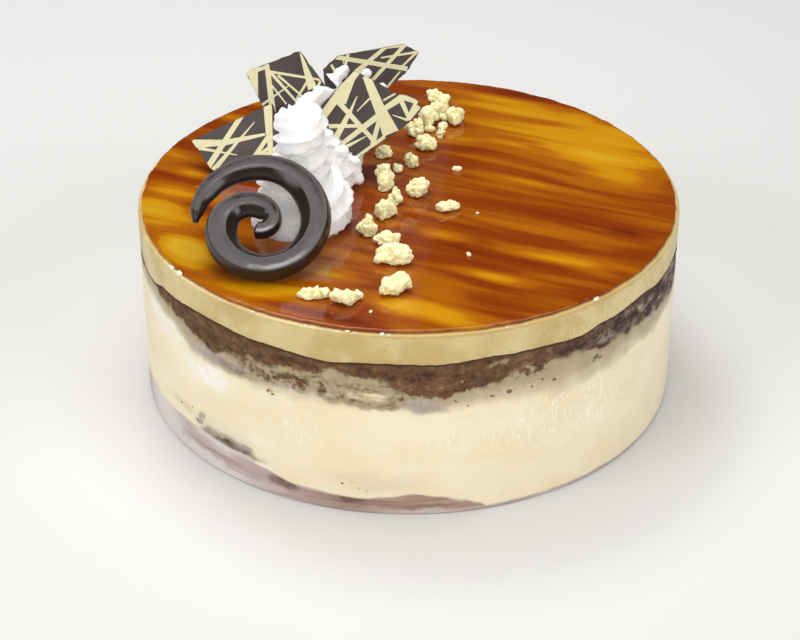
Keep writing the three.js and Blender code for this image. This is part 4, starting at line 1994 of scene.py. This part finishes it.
DRESS = SideDress(
    crumb_low=Edge(
        (
            (-165, 59), (-155, 59.5), (-148, 56.5), (-141, 54), (-136, 52.5), (-132.5, 50),
            (-128, 53.5), (-121, 54.5), (-112, 56), (-106, 57.5), (-101, 56.8), (-95, 55), (-92, 52),
            (-89, 48.2), (-83, 47.8), (-80, 50.6), (-77, 51.8), (-73, 52.8), (-70, 55.6), (-66, 54.4),
            (-60, 55.2), (-56, 55.8), (-51, 53.6), (-45, 53), (-40.5, 52), (-38.2, 54.6), (-35.5, 53),
            (-29, 51.6), (-20, 50), (15, 51), (50, 55), (85, 48), (120, 54), (160, 49),
        ),
        ragged=0.5,
        grain=5.0,
        seed=19.3,
    ),
    fog_low=Edge(
        (
            (-165, 52), (-150, 50.5), (-140, 44.5), (-130, 42.5), (-118, 42), (-95, 42), (-82, 41.8),
            (-76, 43), (-66, 42), (-58, 39.5), (-48, 40.5), (-38, 43), (-20, 44), (15, 44), (50, 47),
            (85, 42), (120, 46), (160, 43),
        ),
        ragged=0.5,
        grain=7.0,
        seed=43.1,
    ),
    # Top of the base band that carries the painted reflection.
    reflected_base_top=Edge(
        (
            (-156, 12), (-140, 13.2), (-127, 12.4), (-121, 10), (-113, 7), (-100, 5.8), (-95, 7),
            (-89, 8.6), (-84, 7.2), (-79, 5), (-76, 3), (-74, 1.2), (-20, 0.9), (35, 5.5), (70, 2),
            (120, 9), (165, 6),
        ),
        ragged=0.2,
        grain=6.0,
        seed=35.7,
    ),
    shadow_top=SPONGE_HIGH,
    dabs={
        Mark.CRUMB: (
            Dab(-137, 47.5, 6, 3, 0.1), Dab(-107, 52, 15, 4.5, 0.12), Dab(-124.6, 46.6, 3, 2, 0.16),
            Dab(-95, 44.2, 5, 1.6, 0.14), Dab(-128, 47.4, 6, 3, 0.26), Dab(-124, 51.5, 4, 3, 0.24),
            Dab(-121, 49.4, 3, 2.5, 0.22), Dab(-114.6, 50, 7, 3, 0.3), Dab(-112, 47.6, 5, 2, 0.16),
            Dab(-107.4, 49, 0.8, 3.2, 0.4), Dab(-103, 45.8, 5, 2, 0.26), Dab(-97, 44.8, 6, 2, 0.26),
            Dab(-92.6, 47.4, 3, 4, 0.24), Dab(-99.6, 51.6, 3, 1.5, 0.12),
            Dab(-103.6, 53.6, 3.2, 2.6, -0.06), Dab(-97, 49.3, 2.2, 1.2, -0.2),
            Dab(-101.4, 47.5, 1, 0.9, -0.14), Dab(-118.4, 43.2, 1.2, 1, 0.34),
            Dab(-87, 44.4, 5, 2.7, 0.14), Dab(-130, 13.7, 9.4, 2.5, 0.46),
            Dab(-131.4, 14.7, 7, 2.8, 0.26), Dab(-124.6, 12.4, 4.4, 1.5, 0.36),
            Dab(-138.9, 16.6, 1.2, 1.2, 0.5), Dab(-137.4, 18.4, 1, 2.4, 0.24),
            Dab(-136.4, 20.4, 0.7, 2, 0.24), Dab(-131, 18.4, 12, 5, 0.1), Dab(-145, 18, 4, 3, 0.12),
            Dab(-98, 13, 15, 6, 0.1), Dab(-49.4, 50, 1.3, 1.6, 0.3), Dab(-72, 60, 2.4, 1.5, -0.5),
            Dab(-35.6, 59.4, 1.5, 1.1, -0.6), Dab(30, 16, 12, 4, 0.6), Dab(140, 14, 10, 4, 0.7),
            Dab(60, 46, 8, 3, 0.25), Dab(150, 46, 9, 3, 0.3),
        ),
        Mark.GRIT: (
            Dab(-110, 51.5, 24, 9, 0.5), Dab(-115, 50, 8, 4, 0.5), Dab(-98, 47.5, 10, 5, 0.6),
            Dab(-87, 48.8, 7, 2.6, 0.7), Dab(-78, 52.5, 4, 4.5, 0.9), Dab(-74, 58.5, 5, 3, 0.6),
            Dab(-66, 55, 6, 4, 0.9), Dab(-69, 49, 9, 3, 0.3), Dab(-50, 51, 6, 3, 0.3),
            Dab(-35, 57, 12, 5, 0.4), Dab(-131, 17, 10, 2.4, 0.5), Dab(30, 16, 12, 5, 0.8),
            Dab(140, 14, 12, 5, 0.8), Dab(60, 50, 25, 5, 0.6), Dab(150, 49, 25, 5, 0.6),
            Dab(0, 52, 20, 4, 0.4), Dab(100, 50, 15, 4, 0.5),
        ),
        # Grey: the dabs on the base band and the one at -28 degrees are painted reflection; the rest tint
        # the fog grey.
        Mark.GREY: (
            Dab(-87, 44.6, 5.5, 3.2, 1.4), Dab(-135, 48, 10, 4, 1.1), Dab(-127, 48, 6, 2.6, 0.7),
            Dab(-112, 46, 9, 3, 0.4), Dab(-50, 58, 5, 3, 0.8), Dab(-131, 15.5, 14, 7, 1.2),
            Dab(-28, 56, 8, 8, 1), Dab(-155, 8, 14, 9), Dab(-140, 1.6, 24, 4, 1.2),
            Dab(-88, 1, 12, 2, 0.5), Dab(95, 47, 12, 5, 0.9),
        ),
        Mark.RED: (
            Dab(-85.5, 52.5, 7, 5.5), Dab(-92, 55, 5, 4, 0.6), Dab(-114, 57.5, 12, 3.5, 0.7),
            Dab(-66, 57.5, 5, 3.5, 0.7), Dab(-135, 53, 6, 3, 0.4), Dab(-88, 5, 30, 8, 1.2),
            Dab(70, 55, 14, 6), Dab(170, 56, 12, 5, 0.8),
        ),
        Mark.MAUVE: (
            Dab(-40, 57, 22, 10), Dab(-15, 56, 20, 10, 0.9), Dab(-131, 15, 10, 4),
            Dab(-116, 6, 3.4, 2.6, 1.1), Dab(-101.5, 5, 3.2, 1.2, 2.4), Dab(-134, 5.6, 14, 0.9, 0.25),
            Dab(-86, 3.6, 8, 0.9, 0.45), Dab(30, 15, 14, 5), Dab(140, 13, 12, 5),
            Dab(110, 56, 15, 6, 0.7),
        ),
        Mark.SHADOW: (
            Dab(-48, 54.4, 6, 1.1, 0.6), Dab(-36, 53.4, 6, 1, 0.6), Dab(-42.4, 58.2, 2, 1.3, 0.6),
            Dab(-57, 58.4, 5, 2.4, 0.4), Dab(-112, 58, 6, 1.4, 0.4), Dab(-91.5, 51, 1.6, 1.4, 0.5),
        ),
        Mark.WHITE: (
            Dab(-136, 39, 9, 6), Dab(-150, 50, 13, 9, 0.8), Dab(-128, 20.5, 13, 3, 0.4),
            Dab(-120, 10.6, 3, 1.2, 0.6), Dab(-51, 30, 2, 6, 0.35), Dab(25, 40, 13, 7),
            Dab(125, 41, 11, 6),
        ),
        # Where the pale cream carries painted highlights as light vertical streaks.
        Mark.FLECK: (
            Dab(-56, 31, 24, 13, 0.9), Dab(-50, 31, 6, 8, 0.4), Dab(-114, 29, 9, 8, 0.6),
            Dab(-84, 32, 10, 12, 0.4), Dab(25, 28, 25, 15, 0.7), Dab(160, 25, 22, 14, 0.7),
        ),
    },
)
GLAZE = GlazeFinish(
    name="caramel_glaze",
    turn=-23.0,
    burnt=shade(100, 30, 1),
    brown=shade(129, 52, 2),
    amber=shade(163, 90, 3),
    gold=shade(194, 134, 8),
    bright=shade(206, 158, 34),
    pours_and_shadows=(
        PourAndShadow(68, 42, 50, 24, 0.42), PourAndShadow(34, 76, 22, 8, 0.34), PourAndShadow(78, 12, 17, 7, 0.22),
        PourAndShadow(66, 64, 10, 4, 0.14), PourAndShadow(18, 42, 11, 5, 0.18), PourAndShadow(66, 49, 10, 3, -0.12),
        PourAndShadow(54, 33, 10, 3, -0.16), PourAndShadow(38, 18, 22, 4, -0.14), PourAndShadow(56, 7, 10, 3, -0.1),
        PourAndShadow(58, 65, 18, 5, 0.15), PourAndShadow(76, 28, 18, 10, 0.1), PourAndShadow(60, 57, 25, 3, -0.14),
        PourAndShadow(45, 41, 14, 3, -0.14), PourAndShadow(38, 86, 18, 4, -0.16), PourAndShadow(12, 80, 12, 6, 0.1),
        PourAndShadow(42, 6, 16, 3, 0.14), PourAndShadow(42, -28, 20, 3, 0.12), PourAndShadow(66, -41, 11, 4, 0.1),
        PourAndShadow(50, -48, 20, 4.5, 0.26), PourAndShadow(30, -64, 13, 4, 0.28), PourAndShadow(30, -56, 14, 3, -0.12),
        PourAndShadow(78, -32, 9, 3, -0.2), PourAndShadow(42, -17, 26, 5, -0.12), PourAndShadow(12, 25, 16, 5, -0.14),
        PourAndShadow(10, -88, 26, 6, 0.46), PourAndShadow(-6, -85, 9, 5, 0.2), PourAndShadow(60, -58, 12, 5, 0.18),
        PourAndShadow(-92, -12, 14, 20, 0.42), PourAndShadow(-80, -40, 12, 6, 0.3), PourAndShadow(-91, 30, 12, 5, 0.24),
        PourAndShadow(-82, 15, 9, 4, 0.26), PourAndShadow(-66, 58, 22, 8, 0.14), PourAndShadow(-40, -71, 17, 4, 0.32),
        PourAndShadow(-22, -64, 12, 4, 0.2), PourAndShadow(-24, -89, 16, 5, -0.3), PourAndShadow(-44, -80, 9, 3, -0.2),
        PourAndShadow(-24, -47, 14, 4, 0.14), PourAndShadow(16, -36, 10, 3, 0.14), PourAndShadow(-60, 80, 30, 8, 0.2),
        # Painted shadows: under plaque_right at (-14, 15) and at the foot of the front swirl at (-24,
        # -26).
        PourAndShadow(-14, 15, 7, 8, -0.6), PourAndShadow(-24, -26, 6, 7, -0.25), PourAndShadow(-79, -47, 14, 8, 0.7),
        PourAndShadow(-84, -28, 10, 7, 0.22), PourAndShadow(-56, -71, 20, 8, 0.3), PourAndShadow(-48, -78, 8, 3, 0.16),
        PourAndShadow(-30, -59, 11, 6, 0.28), PourAndShadow(4, -68, 16, 12, 0.16), PourAndShadow(12, -80, 16, 5, 0.12),
        PourAndShadow(12, -37, 9, 4, 0.26), PourAndShadow(-8, -26, 7, 4, 0.2),
    ),
)
WHIPPED = SoftFinish("whipped_cream", shade(254, 254, 252), shade(246, 244, 239), glow=0.8, depth=1.8)
PLAQUE_CHOCOLATE = ChocolateFinish(
    "plaque_chocolate", shade(56, 44, 40), shade(79, 68, 65), roughness=0.42
)
COIL_CHOCOLATE = ChocolateFinish(
    "coil_chocolate", shade(38, 28, 25), shade(52, 42, 39), roughness=0.23
)
SPECKS = SoftFinish("sponge_specks", shade(112, 94, 70), shade(84, 66, 46))
# Pale nibs on the rim, most of them standing in for painted glints.
RIM_NIBS_AND_GLINTS = SoftFinish("rim_nibs_and_glints", shade(246, 238, 212), shade(230, 214, 170))
STREAKS = StreakFinish("pale_streaks", shade(215, 208, 165), shade(200, 188, 136))
CRUMBLE = CrumbleFinish("crumble", shade(250, 243, 196), shade(246, 234, 172), shade(234, 208, 130))

SWIRLS = (
    Swirl(-38.6, -19, radius=21, height=44, lean=(0.5, 0.5), neck=0.49, foot=(-3.2, -4.6)),
    Swirl(-34.6, 11, radius=17.4, height=42, lean=(7.6, 9.8), neck=0.4, top=0.72),
)
PLAQUES = (
    Plaque(
        "plaque_left",
        at=(-74.2, 13, 76.1),
        yaw=-20,
        lean=38,
        streaks=(
            Streak((-10, 9), (3, 11.6), (3.4, 2.2)), Streak((3, 11.6), (18, 17.2), (2.2, 1)),
            Streak((-7, 7.9), (8.8, 7.7), (1.4, 0.3)), Streak((-1.7, 1.2), (7.6, 24), (2.4, 2)),
            Streak((0.8, 0.5), (12.8, 21.2), (2.2, 0.3)),
            Streak((16.3, 28.8), (19.6, 17.5), (3.4, 2.6)), Streak((19.6, 17.8), (22, 10), (2.6, 1.8)),
            Streak((15.8, 8), (19.5, 17), (2, 1.6)), Streak((15.5, 8.8), (23, 10.8), (1.5, 1.2)),
            Streak((18, 9.8), (21.5, 13), (1.2, 1.6)),
        ),
        clear=(
            (-12, -3), (22.5, -3), (22.8, 10), (18.3, 28), (14, 32), (-12, 32),
        ),
    ),
    Plaque(
        "plaque_back_left",
        at=(-44.8, 27, 98.8),
        yaw=-10,
        lean=24,
        streaks=(
            Streak((-15, 10.5), (-12.2, -1.5), (4.4, 0.6)), Streak((-18, 8.5), (-9, 12), (2, 1.2)),
            Streak((-9.5, 12.8), (-6, -5), (1.8, 2.4)), Streak((-9, 10.2), (12.5, 8.4), (1, 0.8)),
            Streak((-8, 10), (4.2, -1.7), (1.3, 0.8)), Streak((-5, 9), (5, 1.8), (0.9, 0.7)),
            Streak((-7, 5), (-1, -1.5), (0.7, 0.6)), Streak((2.6, 19), (8.6, 5), (0.4, 3.6)),
            Streak((6.8, 8.2), (2.6, 0.5), (1.1, 0.7)), Streak((11.6, 8.6), (9.8, 4), (0.9, 1)),
            Streak((-11, -3), (-0.5, 5.5), (1, 0.4)),
        ),
        clear=(
            (-20, -11.2), (16.5, 3.5), (18.5, 6), (2.7, 21), (-20, 12),
        ),
    ),
    Plaque(
        "plaque_right",
        at=(-23.7, 6, 88.4),
        yaw=16,
        lean=34,
        streaks=(
            Streak((-7, 12.8), (10.5, 30.3), (3, 3.4)), Streak((8.5, 28), (2, 17.5), (1.6, 2.6)),
            Streak((12.5, 26.5), (15.8, 13), (3, 4.2)), Streak((15.8, 13.5), (18.4, 4), (4.2, 6.5)),
            Streak((-0.5, 19.5), (12.2, 1.2), (2, 1.7)), Streak((7.9, 19.4), (4.4, 14), (0.3, 1.2)),
            Streak((4.6, 14.4), (-4, 3), (1.5, 2.5)), Streak((-4.5, 9.6), (9.5, 8), (1.6, 1.2)),
            Streak((-1.8, 1.8), (14.5, 11), (1.6, 2.3)), Streak((0, 0.9), (8.8, 4.1), (1.5, 0.3)),
            Streak((1.5, -4.7), (16, 3.2), (1.5, 1.3)), Streak((10.8, 0.5), (14.8, 9.6), (1.9, 1.6)),
            Streak((16.5, 13), (25, 17), (1.8, 2.6)), Streak((17.5, 16.6), (22.5, 18.6), (0.7, 0.7)),
            Streak((24.5, 17.3), (30.5, 14.3), (2.2, 1.6)),
            Streak((24.4, 15.5), (26.4, 8.3), (1.9, 1.4)),
            Streak((30.2, 13.3), (25.6, 8.2), (3.2, 1.6)), Streak((20.2, 10.8), (25.6, 8.2), (0.3, 1)),
            Streak((7, 13.8), (12.5, 18), (0.3, 0.8)),
        ),
        clear=(
            (-0.7, -3), (2.7, -4.3), (33, 9), (33, 15), (8.3, 31), (-11.5, 15.5), (-9, 13),
        ),
    ),
    Plaque(
        "plaque_back_right",
        at=(-16.8, 33.6, 102.4),
        yaw=8,
        lean=22,
        streaks=(
            Streak((-11, 10.9), (16.8, 4.8), (1.6, 1.8)), Streak((-7.3, 12.5), (-7.4, 8), (0.3, 0.3)),
            Streak((-5, 13), (-7, 6.5), (1.3, 1)), Streak((-3, 4.5), (9.5, 13.8), (1.9, 1.3)),
            Streak((7, 13.3), (17, 13.8), (1.3, 1.3)), Streak((17, 14.5), (3, 1), (1.5, 1.3)),
            Streak((22, 11), (7, 9.5), (1, 0.6)), Streak((21.5, 11.5), (14.5, 5.5), (1, 0.7)),
            Streak((8, -2.5), (14, 4), (1, 0.6)), Streak((-1, 5), (3.5, -2), (2.5, 0.6)),
            Streak((-12, 8), (-4, -8), (1, 1.4)),
        ),
    ),
)


def main() -> None:
    """Load the frame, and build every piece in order."""
    logging.basicConfig(level=logging.INFO, format="%(message)s")
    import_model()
    Studio().build()
    layers = Layers(SPONGE_HIGH)
    layers.base_sponge(DRESS, SIDE.material("base_sponge"))
    layers.pale_cream(DRESS, SIDE.material("pale_cream"))
    layers.upper_sponge(DRESS, SIDE.material("upper_sponge"))
    layers.caramel_cream(CARAMEL_CREAM)
    layers.glaze(GLAZE)
    spiral = Spiral(at=Vector((-52.6, -48.6, 89.05)), lean=60)
    presses = [DiscPress(spiral.at, spiral.face(), depth=1.2, radius=25)]
    presses += [plaque.press(depth=1.0) for plaque in PLAQUES if plaque.clear]
    PipedCream(SWIRLS, layers.glaze_top, presses).build(WHIPPED)
    chocolate = PLAQUE_CHOCOLATE.material()
    streak = STREAKS.material()
    for plaque in PLAQUES:
        plaque.build(chocolate, streak)
    spiral.build(COIL_CHOCOLATE.material())
    Crumble().build(CRUMBLE.material())
    specks = SPECKS.material()
    nibs = RIM_NIBS_AND_GLINTS.material()
    StrayCrumbs(layers.radius, layers.caramel_top).build(specks, nibs)


if __name__ == "__main__":
    main()
